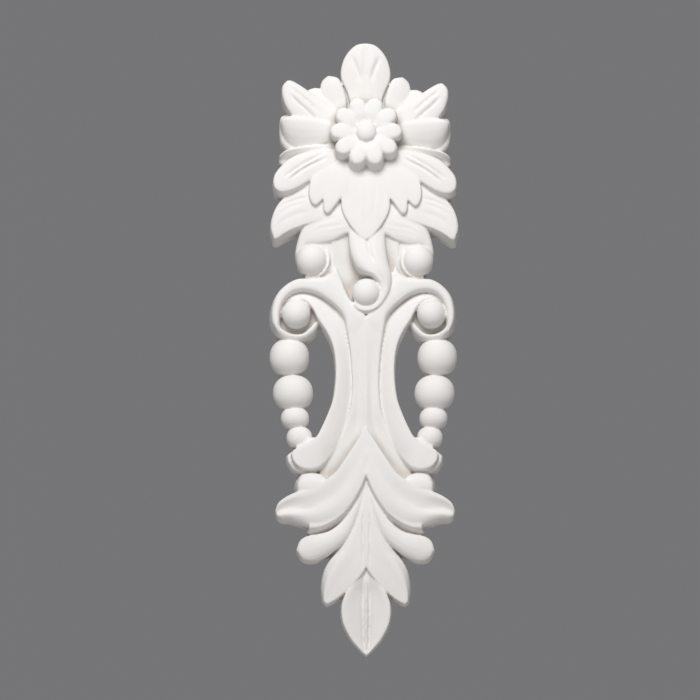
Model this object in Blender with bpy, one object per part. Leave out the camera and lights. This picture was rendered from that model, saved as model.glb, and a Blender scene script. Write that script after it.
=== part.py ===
"""Floral applique: an upright drop ornament cast in one piece, with a flat back.

The ornament stands in the XZ plane with +Z up. Its carved face looks along -Y and its flat back
lies at y = 0, with the origin on the back behind the stem. Plan sizes and levels are written in
millimetres: a plan point is (x, z) on the left half, and a level is a height above the back.
"""
import math

import bmesh
import bpy
from mathutils import Matrix, Vector

MM = 0.001

# Overall plan
TOP_TIP = 151.0
BOTTOM_TIP = -147.4

# Taper of the cast walls, as spread for each millimetre of height: all round, and added where a
# wall faces down, because the undersides of the leaves lean out further
WALL_DRAFT = 0.05
UNDER_DRAFT = 0.14
RIM_DRAFT = 0.12
SCROLL_END_DRAFT = 0.24

# How far the parts run behind the back before it is cut flat, and how much that grows from part
# to part, so that no two backs share a plane
BACK_OVERRUN = 1.2
BACK_STAGGER = 0.03
CUT_MARGIN = 30.0
CUT_DEPTH = 40.0

# The right half is modelled a little narrower than the left, most of all at the scrolls, and its
# upper leaves hang a little lower
RIGHT_NARROWING = 0.018
RIGHT_SCROLL_NARROWING = 0.050
SCROLL_REACH = 52.0
RIGHT_DROP = 1.6
RIGHT_DROP_START = 20.0
RIGHT_DROP_FULL = 125.0
RIGHT_DROP_WIDTH = 40.0

# Flower
FLOWER_CENTRE = (0.3, 104.8)
PETAL_COUNT = 10
PETAL_ROOT_RADIUS = 3.0
PETAL_TIP_RADIUS = 17.2
PETAL_END_RADIUS = 4.0
PETAL_ROUND_STEPS = 3
PETAL_OVERLAP = 1.12
PETAL_WAIST = 0.6
PETAL_LEVELS = (21.4, 22.6, 23.0, 22.6, 21.6, 20.2)
PETAL_SWELL = (0.2, 0.8, 1.0, 0.8, 0.4, 0.0)
FLOWER_BEAD = (FLOWER_CENTRE[0], FLOWER_CENTRE[1], 4.7, 4.7, 25.2, 4.2)

# Balls on the left half and on the middle line: x, z, half width, half height, top level, bulge
SIDE_BALLS = {
    "bead_1": (-37.3, -3.4, 9.6, 9.4, 12.8, 9.2),
    "bead_2": (-35.6, -20.4, 9.6, 8.6, 12.2, 8.6),
    "bead_3": (-34.5, -33.4, 6.5, 5.5, 10.2, 6.4),
    "bead_4": (-32.3, -42.8, 6.1, 5.4, 9.8, 6.0),
    "volute_eye": (-34.0, 17.0, 7.3, 7.3, 16.0, 7.0),
    "curl_ball": (-26.6, 43.6, 7.6, 7.6, 16.4, 7.0),
}
BUD_BALL = (0.1, 27.4, 6.5, 6.5, 18.8, 6.2)
BALL_SEGMENTS = 16
BALL_RINGS = 4

# Sections across a strip: share of the way across, rise above the level
FLAT = ((0.0, 0.0), (1.0, 0.0))
CROWNED = ((0.0, -1.5), (0.24, -0.2), (0.5, 0.3), (0.76, -0.2), (1.0, -1.5))
SOFT_CROWN = ((0.0, -0.8), (0.3, 0.1), (0.7, 0.1), (1.0, -0.8))
PETAL_SECTION = ((0.0, -1.2), (0.25, -0.1), (0.75, -0.1), (1.0, -1.2))
TWO_VEINS = ((0.0, -1.4), (0.18, 0.1), (0.34, -0.6), (0.46, 0.5), (0.58, -0.6), (0.8, 0.2), (1.0, -1.2))
TOP_LEAF_SECTION = ((0.0, -1.9), (0.2, 0.1), (0.34, -0.6), (0.5, 0.5), (0.66, -0.6), (0.8, 0.1), (1.0, -1.9))
BOAT_SECTION = ((0.0, -6.4), (0.2, -3.8), (0.48, -0.9), (0.8, 0.3), (1.0, -0.8))
BIG_LEAF_SECTION = (
    (0.0, -1.6), (0.2, 0.2), (0.40, -0.5), (0.50, 0.5), (0.60, -0.6), (0.82, 0.2), (0.91, -0.7), (1.0, -0.6),
)
DRAPE_SECTION = ((0.0, -2.2), (0.14, 0.0), (0.36, -0.4), (0.54, 0.5), (0.8, -0.2), (1.0, -0.4))
RIM_SECTION = ((0.0, -0.7), (0.3, 0.2), (0.75, 0.2), (1.0, -0.8))
COVE_SECTION = ((0.0, -4.6), (0.16, -4.4), (0.42, -2.6), (0.78, 0.0), (1.0, -1.2))
WING_SECTION = ((0.0, -1.2), (0.2, 0.5), (0.45, -1.6), (0.64, 0.1), (0.84, 0.4), (1.0, -0.6))
RIBBED_BLADE_SECTION = (
    (0.0, 0.0), (0.2, -0.4), (0.42, -2.0), (0.47, -1.0), (0.53, -1.0), (0.58, -2.0), (0.8, -0.4), (1.0, 0.0),
)
TWIST_SECTION = ((0.0, -1.2), (0.2, 0.4), (0.5, -0.1), (0.66, 0.4), (1.0, -2.6))

# Strips on the middle line. "edge" is the left edge from root to tip, "levels" the heights along
# the way, "section" the form across, and "swell" how far the section is raised along the way.
CENTRE_STRIPS = {
    "stem": {
        "edge": ((-8.6, 14), (-8.8, 7), (-7.8, 0), (-6.9, -10), (-6.6, -20), (-7.2, -29), (-8.2, -36),
                 (-6, -44)),
        "levels": (13.0, 12.9, 12.6, 12.3, 12.2, 11.8, 10.6, 9.4),
        "section": SOFT_CROWN, "swell": (0.2, 0.6, 1.0, 1.0, 1.0, 1.0, 0.6, 0.4), "steps": 8,
    },
    "top_leaf": {
        "edge": ((-6.5, 109), (-7.8, 118.6), (-9.4, 126.8), (-12.2, 135.1), (-11.4, 141), (-8.8, 146.1),
                 (-4.6, 150.2), (0, TOP_TIP)),
        "levels": (10.5, 11.8, 13.4, 15.0, 15.4, 15.0, 14.4, 13.4),
        "section": TOP_LEAF_SECTION, "swell": (0.2, 0.3, 0.7, 1.0, 1.0, 0.9, 0.5, 0.0), "steps": 8,
    },
    "rosette_foot_leaf": {
        "edge": ((-9, 94.6), (-11.6, 83.4), (-12.2, 74.3), (-10.6, 65.6), (-7.4, 59), (-3.2, 54.5),
                 (0, 52.9)),
        "levels": (10.6, 13.4, 15.8, 16.8, 16.8, 16.0, 14.6),
        "section": CROWNED, "swell": (0.3, 0.6, 1.0, 1.0, 1.0, 0.7, 0.0), "steps": 8,
    },
    "rosette_core": {
        "edge": ((-19, 68), (-30, 79), (-36, 92), (-37, 104), (-33, 114), (-22, 122), (-8, 127)),
        "levels": (8.6, 9.0, 9.0, 9.0, 9.0, 9.0, 8.6),
        "section": FLAT, "swell": (1.0, 1.0), "steps": 6,
    },
    "neck_floor": {
        "edge": ((-15, 72), (-15, 60), (-14.8, 48), (-14.2, 40), (-12, 31.5), (-7.6, 23), (-2.5, 17),
                 (0, 15.2)),
        "levels": (9.0, 9.0, 9.2, 9.4, 9.2, 8.8, 8.4, 8.0),
        "section": FLAT, "swell": (1.0, 1.0), "steps": 7,
    },
    "second_tier_rib": {
        "edge": ((-1.8, -60), (-1.7, -72), (-1.5, -84), (-1.3, -95), (0, -104)),
        "levels": (12.0, 12.2, 11.8, 11.2, 10.2),
        "section": CROWNED, "swell": (0.6, 0.8, 0.6, 0.5, 0.0), "steps": 4,
    },
    "foot_leaf": {
        "edge": ((-3, -106), (-5.4, -113.2), (-9.4, -118.3), (-11.8, -125), (-11.2, -133), (-7.6, -140.4),
                 (-3.2, -145), (0, BOTTOM_TIP)),
        "levels": (8.6, 8.6, 8.6, 8.4, 8.0, 7.2, 6.2, 5.4),
        "section": RIBBED_BLADE_SECTION, "swell": (0.4, 0.7, 1.0, 1.0, 1.0, 0.9, 0.6, 0.0), "steps": 8,
    },
}

# Strips of the left half, repeated on the right. "low" and "high" are their two edges.
SIDE_STRIPS = {
    "side_lobe": {
        "low": ((-12, 113.4), (-17, 120.6), (-20.4, 125.4), (-22.2, 129.4), (-21.4, 132.7), (-18.6, 135)),
        "high": ((-8.2, 115.4), (-9.6, 123.1), (-11.8, 129), (-13.4, 132.6), (-15.4, 134.3), (-18.6, 135)),
        "levels": (10.6, 12.4, 13.8, 14.0, 13.4, 12.0),
        "section": CROWNED, "swell": (0.4, 1.0, 1.3, 1.2, 0.8, 0.0), "steps": 5,
    },
    "back_lobe": {
        "low": ((-20, 111.2), (-25, 119.6), (-28, 124.8), (-28.8, 128), (-25.6, 129.9)),
        "high": ((-14, 115.4), (-18.5, 122.7), (-21, 126.9), (-23, 129.2), (-25.6, 129.9)),
        "levels": (10.4, 11.6, 12.2, 12.0, 11.0),
        "section": CROWNED, "swell": (0.4, 1.0, 1.0, 0.8, 0.0), "steps": 4,
    },
    "diagonal_leaf": {
        "low": ((-13, 104), (-24, 108.2), (-33, 112.7), (-38.6, 118.5), (-41.1, 124.8), (-40.9, 130),
                (-38.4, 132.8)),
        "high": ((-12, 116.4), (-19, 121.6), (-25.4, 125.8), (-30, 128.8), (-33.6, 131), (-36.4, 132.6),
                 (-38.4, 132.8)),
        "levels": (10.8, 13.2, 15.2, 15.8, 15.4, 14.8, 13.8),
        "section": TWO_VEINS, "swell": (0.2, 0.7, 1.0, 1.0, 1.0, 0.6, 0.0), "steps": 7,
    },
    "boat_leaf": {
        "low": ((-12, 100.9), (-20, 101.3), (-27, 100.3), (-33, 101.3), (-37.2, 105.2), (-39.6, 110.2),
                (-41.4, 113.1)),
        "high": ((-12, 109.2), (-19, 112.5), (-26, 114), (-32, 114.6), (-36, 114.7), (-39, 114.2),
                 (-41.4, 113.1)),
        "levels": (11.4, 13.8, 15.8, 16.2, 15.8, 14.8, 13.4),
        "section": BOAT_SECTION, "swell": (0.2, 0.6, 1.0, 1.0, 0.9, 0.6, 0.0), "steps": 7,
    },
    "shadow_leaf": {
        "low": ((-26, 96), (-34, 96), (-38.6, 99), (-41.6, 103), (-42.4, 108)),
        "high": ((-26, 118), (-34, 118), (-39.4, 117.4), (-42, 116), (-42.4, 110.5)),
        "levels": (7.6, 7.6, 7.2, 6.6, 6.0),
        "section": FLAT, "swell": (1.0, 1.0), "steps": 4,
    },
    "shadow_lobe": {
        "low": ((-18, 88.5), (-28, 88.5), (-36, 90), (-41, 92), (-42.9, 93.6)),
        "high": ((-18, 99.9), (-28, 99.5), (-35, 98.9), (-39.6, 98), (-42.4, 96.2)),
        "levels": (10.4, 11.4, 11.4, 10.6, 9.6),
        "section": FLAT, "swell": (1.0, 1.0), "steps": 4,
    },
    "big_leaf": {
        "low": ((-10, 88.6), (-18, 86.1), (-25, 83.8), (-30.6, 80.1), (-36, 77.3), (-41.2, 76.4),
                (-44.4, 78.3), (-45.4, 81.9)),
        "high": ((-12, 98.9), (-19, 100.2), (-26, 99.5), (-32, 98), (-37.4, 95.2), (-41.4, 90),
                 (-44.2, 85.4), (-45.4, 81.9)),
        "levels": (10.8, 13.0, 15.0, 15.8, 15.8, 15.4, 14.8, 14.0),
        "section": BIG_LEAF_SECTION, "swell": (0.2, 0.6, 1.0, 1.0, 1.0, 1.0, 0.6, 0.0), "steps": 9,
    },
    "outer_lobe": {
        "low": ((-17, 92.6), (-23, 87.5), (-27, 82), (-27.6, 76.9), (-26.8, 72.8), (-24.8, 69.9)),
        "high": ((-11, 90.6), (-15.2, 83.9), (-18.4, 78.1), (-20.3, 74.4), (-22.4, 71.6), (-24.8, 69.9)),
        "levels": (11.0, 13.8, 15.4, 15.8, 15.4, 14.2),
        "section": CROWNED, "swell": (0.4, 0.8, 1.0, 1.0, 0.8, 0.0), "steps": 5,
    },
    "inner_lobe": {
        "low": ((-12, 92.6), (-17, 84.4), (-19.6, 76.9), (-20.6, 71.7), (-20.2, 68), (-18.6, 65.8)),
        "high": ((-6, 90.6), (-9.2, 82.9), (-11.2, 76.3), (-12.9, 70.7), (-15.8, 67.6), (-18.6, 65.8)),
        "levels": (11.0, 13.8, 15.6, 16.2, 15.8, 14.6),
        "section": CROWNED, "swell": (0.4, 0.8, 1.0, 1.0, 0.8, 0.0), "steps": 5,
    },
    "corner_leaf": {
        "low": ((-16, 66), (-24, 62.4), (-30.6, 60.4), (-36.6, 58.4), (-41.4, 56), (-44, 54.6),
                (-45.6, 53.6)),
        "high": ((-18, 84), (-27, 79), (-34.4, 75.6), (-41, 73), (-44.8, 68.4), (-46.4, 62),
                 (-45.6, 53.6)),
        "levels": (10.6, 12.4, 13.0, 12.6, 11.8, 10.8, 9.0),
        "section": TWO_VEINS, "swell": (0.3, 0.5, 0.7, 0.7, 0.6, 0.5, 0.0), "steps": 7,
    },
    "drape": {
        "low": ((-6, 57), (-10.4, 55.6), (-15, 53.4), (-20.4, 52.6), (-26.4, 52.6), (-31, 53.2)),
        "high": ((-6, 68), (-11, 68), (-17, 67), (-23, 64.2), (-28.4, 60.6), (-31.4, 57)),
        "levels": (12.4, 13.6, 14.4, 14.4, 13.4, 11.2),
        "section": DRAPE_SECTION, "swell": (0.6, 1.0, 1.0, 1.0, 0.9, 0.6), "steps": 6,
    },
    "curl_band": {
        "low": ((-19.6, 54), (-19.4, 47), (-20.4, 41.6), (-22.8, 38.2), (-26.4, 37), (-30, 38.4), (-32, 42),
                (-31.8, 46.4), (-29.6, 51)),
        "high": ((-14.8, 54), (-15.4, 46), (-16.6, 39.8), (-20.4, 35), (-26.2, 33.8), (-31.6, 35.8),
                 (-34.2, 41.4), (-34.2, 48), (-32.2, 54.4)),
        "levels": (13.0, 12.8, 12.4, 11.8, 11.2, 10.4, 9.8, 9.6, 10.0),
        "section": SOFT_CROWN, "swell": (1.0, 1.0), "steps": 11,
    },
    "shoulder": {
        "low": ((-7.6, -2), (-9.2, 8.6), (-10.6, 15), (-14, 19.8), (-18.2, 23.4), (-22.4, 26.2), (-27, 27.8),
                (-32, 28.2), (-36.4, 26.8), (-39.8, 23.2), (-41.4, 18), (-40.8, 12), (-38.6, 7.8)),
        "high": ((0.2, 4), (0.2, 14.6), (-7.6, 23.6), (-11.6, 31.4), (-16.4, 36.2), (-21, 34.7), (-27, 34),
                 (-33.4, 33.8), (-39.2, 30.8), (-43.8, 25.6), (-45.7, 18.6), (-45.2, 11.6), (-42.6, 6)),
        "levels": (11.4, 13.2, 13.5, 13.6, 13.8, 13.8, 13.8, 13.6, 13.4, 13.2, 13.0, 12.6, 12.2),
        "section": RIM_SECTION, "swell": (0.0, 0.2, 1.0, 1.0, 1.0, 1.0, 1.0, 1.0, 1.0, 1.0, 1.0, 1.0, 1.0),
        "steps": 20, "draft": RIM_DRAFT,
    },
    "shoulder_peak": {
        "low": ((-20, 33.5), (-18, 35.6), (-16.2, 38), (-14.6, 41.4)),
        "high": ((-10.5, 29), (-12, 33), (-13.4, 37), (-14.6, 41.4)),
        "levels": (13.4, 13.2, 12.8, 11.6),
        "section": FLAT, "swell": (1.0, 1.0), "steps": 3,
    },
    "volute_floor": {
        "low": ((-22.6, 12.4), (-24.6, 8.6), (-28, 5.8), (-33, 4.4), (-38, 4.6), (-42, 6.6)),
        "high": ((-23, 22), (-27, 26), (-31, 27.6), (-36, 26.6), (-40.6, 21.6), (-43, 13)),
        "levels": (6.4, 5.8, 5.4, 5.2, 5.2, 6.0),
        "section": FLAT, "swell": (1.0, 1.0), "steps": 5,
    },
    "scroll_band": {
        "low": ((-42.2, 15.5), (-41.9, 20), (-39.8, 24.4), (-36.2, 27), (-32, 28.4), (-26.5, 28),
                (-20.8, 25.4), (-14.6, 20.2), (-10.4, 14.4), (-8.6, 6.4), (-7.4, -4), (-6.7, -14),
                (-6.8, -24), (-8.2, -33), (-11.2, -41), (-14.8, -47.6), (-18.8, -53.4), (-22.4, -56),
                (-27.6, -57.4), (-32, -56.6), (-35.4, -53)),
        "high": ((-41.2, 15.5), (-40.4, 18.6), (-38.8, 21.2), (-36.2, 23), (-33, 23.8), (-29.4, 22.8),
                 (-26, 19.2), (-23.4, 14), (-19.8, 8.6), (-16.8, 2.6), (-15.1, -5), (-14.8, -14.6),
                 (-16, -25), (-18.8, -33), (-21.4, -38.8), (-23.6, -43), (-26.2, -45.8), (-29.4, -47.6),
                 (-32.4, -48.6), (-34.6, -49.4), (-35.9, -51)),
        "levels": (6.6, 7.8, 9.6, 11.0, 11.6, 12.0, 12.4, 12.6, 12.6, 12.6, 12.6, 12.6, 12.4, 12.2, 12.2,
                   12.2, 12.4, 12.4, 12.4, 12.2, 11.8),
        "section": COVE_SECTION,
        "swell": (0.0, 0.4, 0.8, 1.0, 1.0, 1.0, 0.9, 0.9, 0.8, 0.5, 0.2),
        "steps": 28,
    },
    "scroll_tip_wall": {
        "low": ((-16, -52), (-20, -55.6), (-25, -58.4), (-29.6, -58.8), (-33.4, -57.6), (-36.4, -54.8)),
        "high": ((-18, -42), (-23, -45.4), (-28, -48), (-32.4, -49.4), (-35.6, -50.4), (-37.2, -52)),
        "levels": (8.6, 8.6, 8.6, 8.4, 8.2, 8.0),
        "section": FLAT, "swell": (1.0, 1.0), "steps": 5, "draft": SCROLL_END_DRAFT,
    },
    "leg": {
        "low": ((-6, -22), (-7.2, -30), (-9.8, -37.4), (-13.6, -45.4), (-18.6, -53.6), (-19.2, -59),
                (-18.4, -64)),
        "high": ((0, -22), (0, -32), (-1.6, -41), (-6, -50), (-11.6, -58.4), (-14.6, -62), (-17, -64)),
        "levels": (10.8, 10.8, 10.2, 9.4, 8.8, 8.4, 8.0),
        "section": FLAT, "swell": (1.0, 1.0), "steps": 6,
    },
    "bead_web": {
        "low": ((-41, 8), (-40, -1), (-39, -12), (-38, -23), (-37, -34), (-35, -45), (-32, -50)),
        "high": ((-33, 6), (-32, -1), (-31, -12), (-30.6, -23), (-30, -34), (-28, -42), (-26, -48)),
        "levels": (5.2, 3.4, 3.0, 3.0, 3.0, 3.4, 6.0),
        "section": FLAT, "swell": (1.0, 1.0), "steps": 4,
    },
    "wing": {
        "low": ((0, -60.4), (-2.4, -67.3), (-7, -75.5), (-12.6, -81.4), (-19, -85.6), (-26, -87.3),
                (-32, -85.6), (-37.6, -83.3), (-41.8, -82.7), (-43.4, -80.4)),
        "high": ((0, -38.6), (-4.4, -45.6), (-9.4, -53.5), (-14.6, -60.6), (-20.4, -64.5), (-27, -67.6),
                 (-32.6, -69.4), (-37.4, -71.9), (-41.6, -75.3), (-43.4, -80.4)),
        "levels": (15.0, 15.2, 15.2, 14.8, 14.4, 13.8, 13.0, 12.0, 11.2, 10.0),
        "section": WING_SECTION, "swell": (0.1, 0.2, 0.4, 0.7, 1.0, 1.2, 1.3, 1.2, 0.9, 0.0), "steps": 11,
    },
    "wing_lobe": {
        "low": ((-5, -64.8), (-12, -70), (-20, -73), (-26, -73.3), (-30.4, -71.6), (-32.6, -67.1)),
        "high": ((-7, -50), (-13, -58.4), (-19, -59.8), (-25, -60.6), (-30, -61.8), (-32.6, -67.1)),
        "levels": (14.6, 15.4, 15.8, 15.6, 15.0, 13.8),
        "section": CROWNED, "swell": (0.3, 0.8, 1.2, 1.2, 0.9, 0.0), "steps": 6,
    },
    "finger_leaf": {
        "low": ((-0.6, -69.6), (-4.2, -82.2), (-8.6, -92), (-14.6, -97.9), (-20.4, -101.8), (-26, -103.7),
                (-30.8, -102.7), (-33.4, -98.4)),
        "high": ((-0.4, -62.8), (-5, -73.5), (-10.6, -83.3), (-17, -88.8), (-23, -90.7), (-28.4, -91.6),
                 (-32, -94), (-33.4, -98.4)),
        "levels": (11.8, 12.0, 12.0, 12.0, 11.8, 11.2, 10.4, 9.2),
        "section": CROWNED, "swell": (0.3, 0.6, 0.8, 1.0, 1.2, 1.0, 0.8, 0.0), "steps": 8,
    },
    "hanging_leaf": {
        "low": ((-0.8, -67.6), (-4.4, -81.2), (-8.6, -91), (-13, -97.5), (-17.4, -102.7), (-20.2, -108.4),
                (-21.3, -116), (-19.8, -123)),
        "high": ((0.2, -67.6), (0.2, -83.2), (0.2, -96), (0.2, -105.6), (-3.4, -111.6), (-8.6, -116.4),
                 (-14.4, -121), (-19.8, -123)),
        "levels": (11.6, 11.6, 11.2, 10.8, 10.4, 9.8, 9.0, 8.2),
        "section": SOFT_CROWN, "swell": (0.3, 0.8, 1.0, 1.0, 1.0, 1.0, 0.8, 0.0), "steps": 7,
    },
}

# The central leaf turns to its right and wraps under the bud, so it has no mirrored half
TWISTED_LEAF = {
    "low": ((-9.4, 60), (-8.6, 50), (-6.4, 42), (-3, 37.4), (2.4, 34.8), (5.8, 31.6), (6.6, 27.4), (5, 23),
            (1.4, 20.6)),
    "high": ((8.8, 60), (9.4, 50), (10.4, 42.4), (11.8, 37), (12.1, 32.6), (11.2, 28.2), (9.2, 24.2),
             (5.6, 20.2), (0.6, 17.6)),
    "levels": (14.4, 16.2, 17.2, 17.2, 16.4, 15.2, 14.0, 12.4, 10.6),
    "section": TWIST_SECTION, "swell": (0.6, 1.0, 1.2, 1.1, 0.9, 0.6, 0.5, 0.4, 0.2), "steps": 12,
}

CAST_WHITE = (0.84, 0.83, 0.81, 1.0)
CAST_ROUGHNESS = 0.72
MERGE_DISTANCE = 0.05 * MM


def clear_scene():
    """Start from an empty scene."""
    for thing in list(bpy.data.objects):
        bpy.data.objects.remove(thing, do_unlink=True)


def new_collection(name):
    """A collection linked to the scene."""
    group = bpy.data.collections.new(name)
    bpy.context.scene.collection.children.link(group)
    return group


def cast_material():
    """The white matt surface of the casting."""
    material = bpy.data.materials.new("cast_white")
    material.use_nodes = True
    shader = material.node_tree.nodes["Principled BSDF"]
    shader.inputs["Base Color"].default_value = CAST_WHITE
    shader.inputs["Roughness"].default_value = CAST_ROUGHNESS
    shader.inputs["Metallic"].default_value = 0.0
    return material


def smooth_point(points, share):
    """The point a share of the way along a smooth curve through the given points."""
    last = len(points) - 1
    place = min(max(share, 0.0), 1.0) * last
    first = min(int(place), last - 1)
    part = place - first
    here = Vector(points[first])
    there = Vector(points[first + 1])
    before = Vector(points[first - 1]) if first > 0 else here * 2 - there
    after = Vector(points[first + 2]) if first + 2 <= last else there * 2 - here
    turn = before * 2 - here * 5 + there * 4 - after
    sweep = here * 3 - before - there * 3 + after
    return (here * 2 + (there - before) * part + turn * part ** 2 + sweep * part ** 3) * 0.5


def smooth_value(values, share):
    """The value a share of the way along a smooth curve through evenly spaced values."""
    return smooth_point([(value, 0.0) for value in values], share)[0]


def to_side(point, side):
    """A plan point of the left half, carried to the left (-1) or to the narrower right (1)."""
    x, z = point
    if side < 0:
        return Vector((x, z))
    narrowing = RIGHT_NARROWING + RIGHT_SCROLL_NARROWING * math.exp(-(z / SCROLL_REACH) ** 2)
    climb = (z - RIGHT_DROP_START) / (RIGHT_DROP_FULL - RIGHT_DROP_START)
    drop = RIGHT_DROP * min(max(climb, 0.0), 1.0) * min(abs(x) / RIGHT_DROP_WIDTH, 1.0)
    return Vector((-x * (1.0 - narrowing), z - drop))


def outward_directions(bm):
    """The plan direction that points away from the carved face, at each vertex of its open edge."""
    directions = {}
    for edge in bm.edges:
        if not edge.is_boundary:
            continue
        first, second = edge.verts
        run = second.co - first.co
        across = Vector((run.z, 0.0, -run.x)).normalized()
        middle = (first.co + second.co) / 2
        if across.dot(edge.link_faces[0].calc_center_median() - middle) > 0:
            across.negate()
        for vert in edge.verts:
            directions[vert] = directions.get(vert, Vector()) + across
    return directions


def stand_on_back(bm, draft, overrun):
    """Carry the open edge of a carved face back past the flat back, spreading it, and close it."""
    directions = outward_directions(bm)
    rim = [edge for edge in bm.edges if edge.is_boundary]
    made = bmesh.ops.extrude_edge_only(bm, edges=rim)["geom"]
    for vert in [item for item in made if isinstance(item, bmesh.types.BMVert)]:
        neighbours = [edge.other_vert(vert) for edge in vert.link_edges]
        source = next(near for near in neighbours if near in directions)
        outward = directions[source].normalized()
        spread = draft + UNDER_DRAFT * max(-outward.z, 0.0)
        vert.co = source.co + outward * (overrun * MM - source.co.y) * spread
        vert.co.y = overrun * MM
    bmesh.ops.contextual_create(bm, geom=[edge for edge in bm.edges if edge.is_boundary])
    bmesh.ops.recalc_face_normals(bm, faces=bm.faces)


def add_form(name, bm, group):
    """Turn a finished bmesh into an object in the group."""
    mesh = bpy.data.meshes.new(name)
    bm.to_mesh(mesh)
    bm.free()
    form = bpy.data.objects.new(name, mesh)
    form.display_type = "WIRE"
    form.hide_render = True
    group.objects.link(form)
    return form


def carve_strip(name, strip, group, side=-1):
    """Make a leaf, band or floor between two edges, with its section across, standing on the back."""
    section = strip["section"]
    last = len(section) - 1
    bm = bmesh.new()
    bmesh.ops.create_grid(bm, x_segments=last, y_segments=strip["steps"], size=0.5)
    for vert in bm.verts:
        along = vert.co.y + 0.5
        across, rise = section[round((vert.co.x + 0.5) * last)]
        if "edge" in strip:
            near = smooth_point(strip["edge"], along)
            far = to_side(near, 1)
        else:
            near = to_side(smooth_point(strip["low"], along), side)
            far = to_side(smooth_point(strip["high"], along), side)
        plan = near.lerp(far, across)
        level = smooth_value(strip["levels"], along) + rise * smooth_value(strip["swell"], along)
        vert.co = Vector((plan.x, -level, plan.y)) * MM
    bmesh.ops.remove_doubles(bm, verts=bm.verts, dist=MERGE_DISTANCE)
    stand_on_back(bm, strip.get("draft", WALL_DRAFT), BACK_OVERRUN + BACK_STAGGER * len(group.objects))
    return add_form(name, bm, group)


def carve_ball(name, ball, group, side=-1):
    """Make a rounded ball that bulges from a short straight foot standing on the back."""
    x, z, half_width, half_height, top, bulge = ball
    centre = to_side((x, z), side)
    bm = bmesh.new()
    bmesh.ops.create_uvsphere(bm, u_segments=BALL_SEGMENTS, v_segments=BALL_RINGS * 2, radius=1.0)
    bmesh.ops.delete(bm, geom=[vert for vert in bm.verts if vert.co.z < -MERGE_DISTANCE], context="VERTS")
    for vert in bm.verts:
        level = top - bulge * (1.0 - vert.co.z)
        plan = (centre.x + half_width * vert.co.x, centre.y + half_height * vert.co.y)
        vert.co = Vector((plan[0], -level, plan[1])) * MM
    stand_on_back(bm, WALL_DRAFT, BACK_OVERRUN + BACK_STAGGER * len(group.objects))
    return add_form(name, bm, group)


def petal_strip():
    """One petal, in line with +Z from the flower's centre, with a half-round end."""
    shoulder = PETAL_TIP_RADIUS - PETAL_END_RADIUS
    slope = PETAL_OVERLAP * math.tan(math.pi / PETAL_COUNT)
    edge = [(radius * slope, radius) for radius in (PETAL_ROOT_RADIUS, PETAL_WAIST * shoulder)]
    for step in range(PETAL_ROUND_STEPS + 1):
        turn = math.pi / 2 * step / PETAL_ROUND_STEPS
        edge.append((PETAL_END_RADIUS * math.cos(turn), shoulder + PETAL_END_RADIUS * math.sin(turn)))
    return {
        "low": [(-half, radius) for half, radius in edge], "high": edge, "levels": PETAL_LEVELS,
        "section": PETAL_SECTION, "swell": PETAL_SWELL, "steps": len(edge) - 1,
    }


def carve_flower(group):
    """The flower: ten petals in a ring and a bead at its centre."""
    centre = Vector((FLOWER_CENTRE[0], 0.0, FLOWER_CENTRE[1])) * MM
    for index in range(PETAL_COUNT):
        petal = carve_strip(f"petal_{index + 1}", petal_strip(), group)
        angle = 2 * math.pi * (index + 0.5) / PETAL_COUNT
        petal.data.transform(Matrix.Translation(centre) @ Matrix.Rotation(angle, 4, "Y"))
    carve_ball("flower_bead", FLOWER_BEAD, group)


def carve_side(side, group):
    """Everything on one side of the middle line."""
    word = "left" if side < 0 else "right"
    for name, strip in SIDE_STRIPS.items():
        carve_strip(f"{word}_{name}", strip, group, side)
    for name, ball in SIDE_BALLS.items():
        carve_ball(f"{word}_{name}", ball, group, side)


def carve_middle(group):
    """Everything on the middle line, apart from the flower."""
    for name, strip in CENTRE_STRIPS.items():
        carve_strip(name, strip, group)
    carve_strip("twisted_leaf", TWISTED_LEAF, group)
    carve_ball("bud_ball", BUD_BALL, group)


def back_slab(group):
    """The block behind y = 0 that cuts the back flat."""
    wide = 2 * max(abs(x) for strip in SIDE_STRIPS.values() for x, z in strip["high"]) + CUT_MARGIN
    tall = TOP_TIP - BOTTOM_TIP + CUT_MARGIN
    centre = Vector((0.0, CUT_DEPTH / 2, (TOP_TIP + BOTTOM_TIP) / 2)) * MM
    bm = bmesh.new()
    bmesh.ops.create_cube(bm, size=1.0)
    size = Matrix.Diagonal((wide * MM, CUT_DEPTH * MM, tall * MM, 1.0))
    bmesh.ops.transform(bm, matrix=Matrix.Translation(centre) @ size, verts=bm.verts)
    return add_form("back_slab", bm, group)


def main():
    clear_scene()
    ornament = new_collection("floral_applique")
    carved = new_collection("carved_forms")
    cutters = new_collection("cutters")
    carve_middle(carved)
    carve_flower(carved)
    for side in (-1, 1):
        carve_side(side, carved)
    casting = carved.objects["stem"]
    carved.objects.unlink(casting)
    ornament.objects.link(casting)
    casting.name = "floral_applique"
    casting.display_type = "TEXTURED"
    casting.hide_render = False
    casting.data.materials.append(cast_material())
    join = casting.modifiers.new("join_carved_forms", "BOOLEAN")
    join.operation = "UNION"
    join.operand_type = "COLLECTION"
    join.collection = carved
    join.solver = "MANIFOLD"
    flatten = casting.modifiers.new("flat_back", "BOOLEAN")
    flatten.operation = "DIFFERENCE"
    flatten.object = back_slab(cutters)
    flatten.solver = "MANIFOLD"


main()
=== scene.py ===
# %% [markdown]
# # A cast floral applique
# This ornament is one plaster casting: a rosette of leaves with a flower, two curls, a bud, two
# volutes with C-scrolls and bead strands, and an acanthus drop. A carver would build the master
# leaf by leaf, melt the joins together and cast it. This lesson does the same in Blender: it carves
# each form as its own closed shape, joins them all into one skin, and then finishes the plaster.

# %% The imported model
import math

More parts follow.
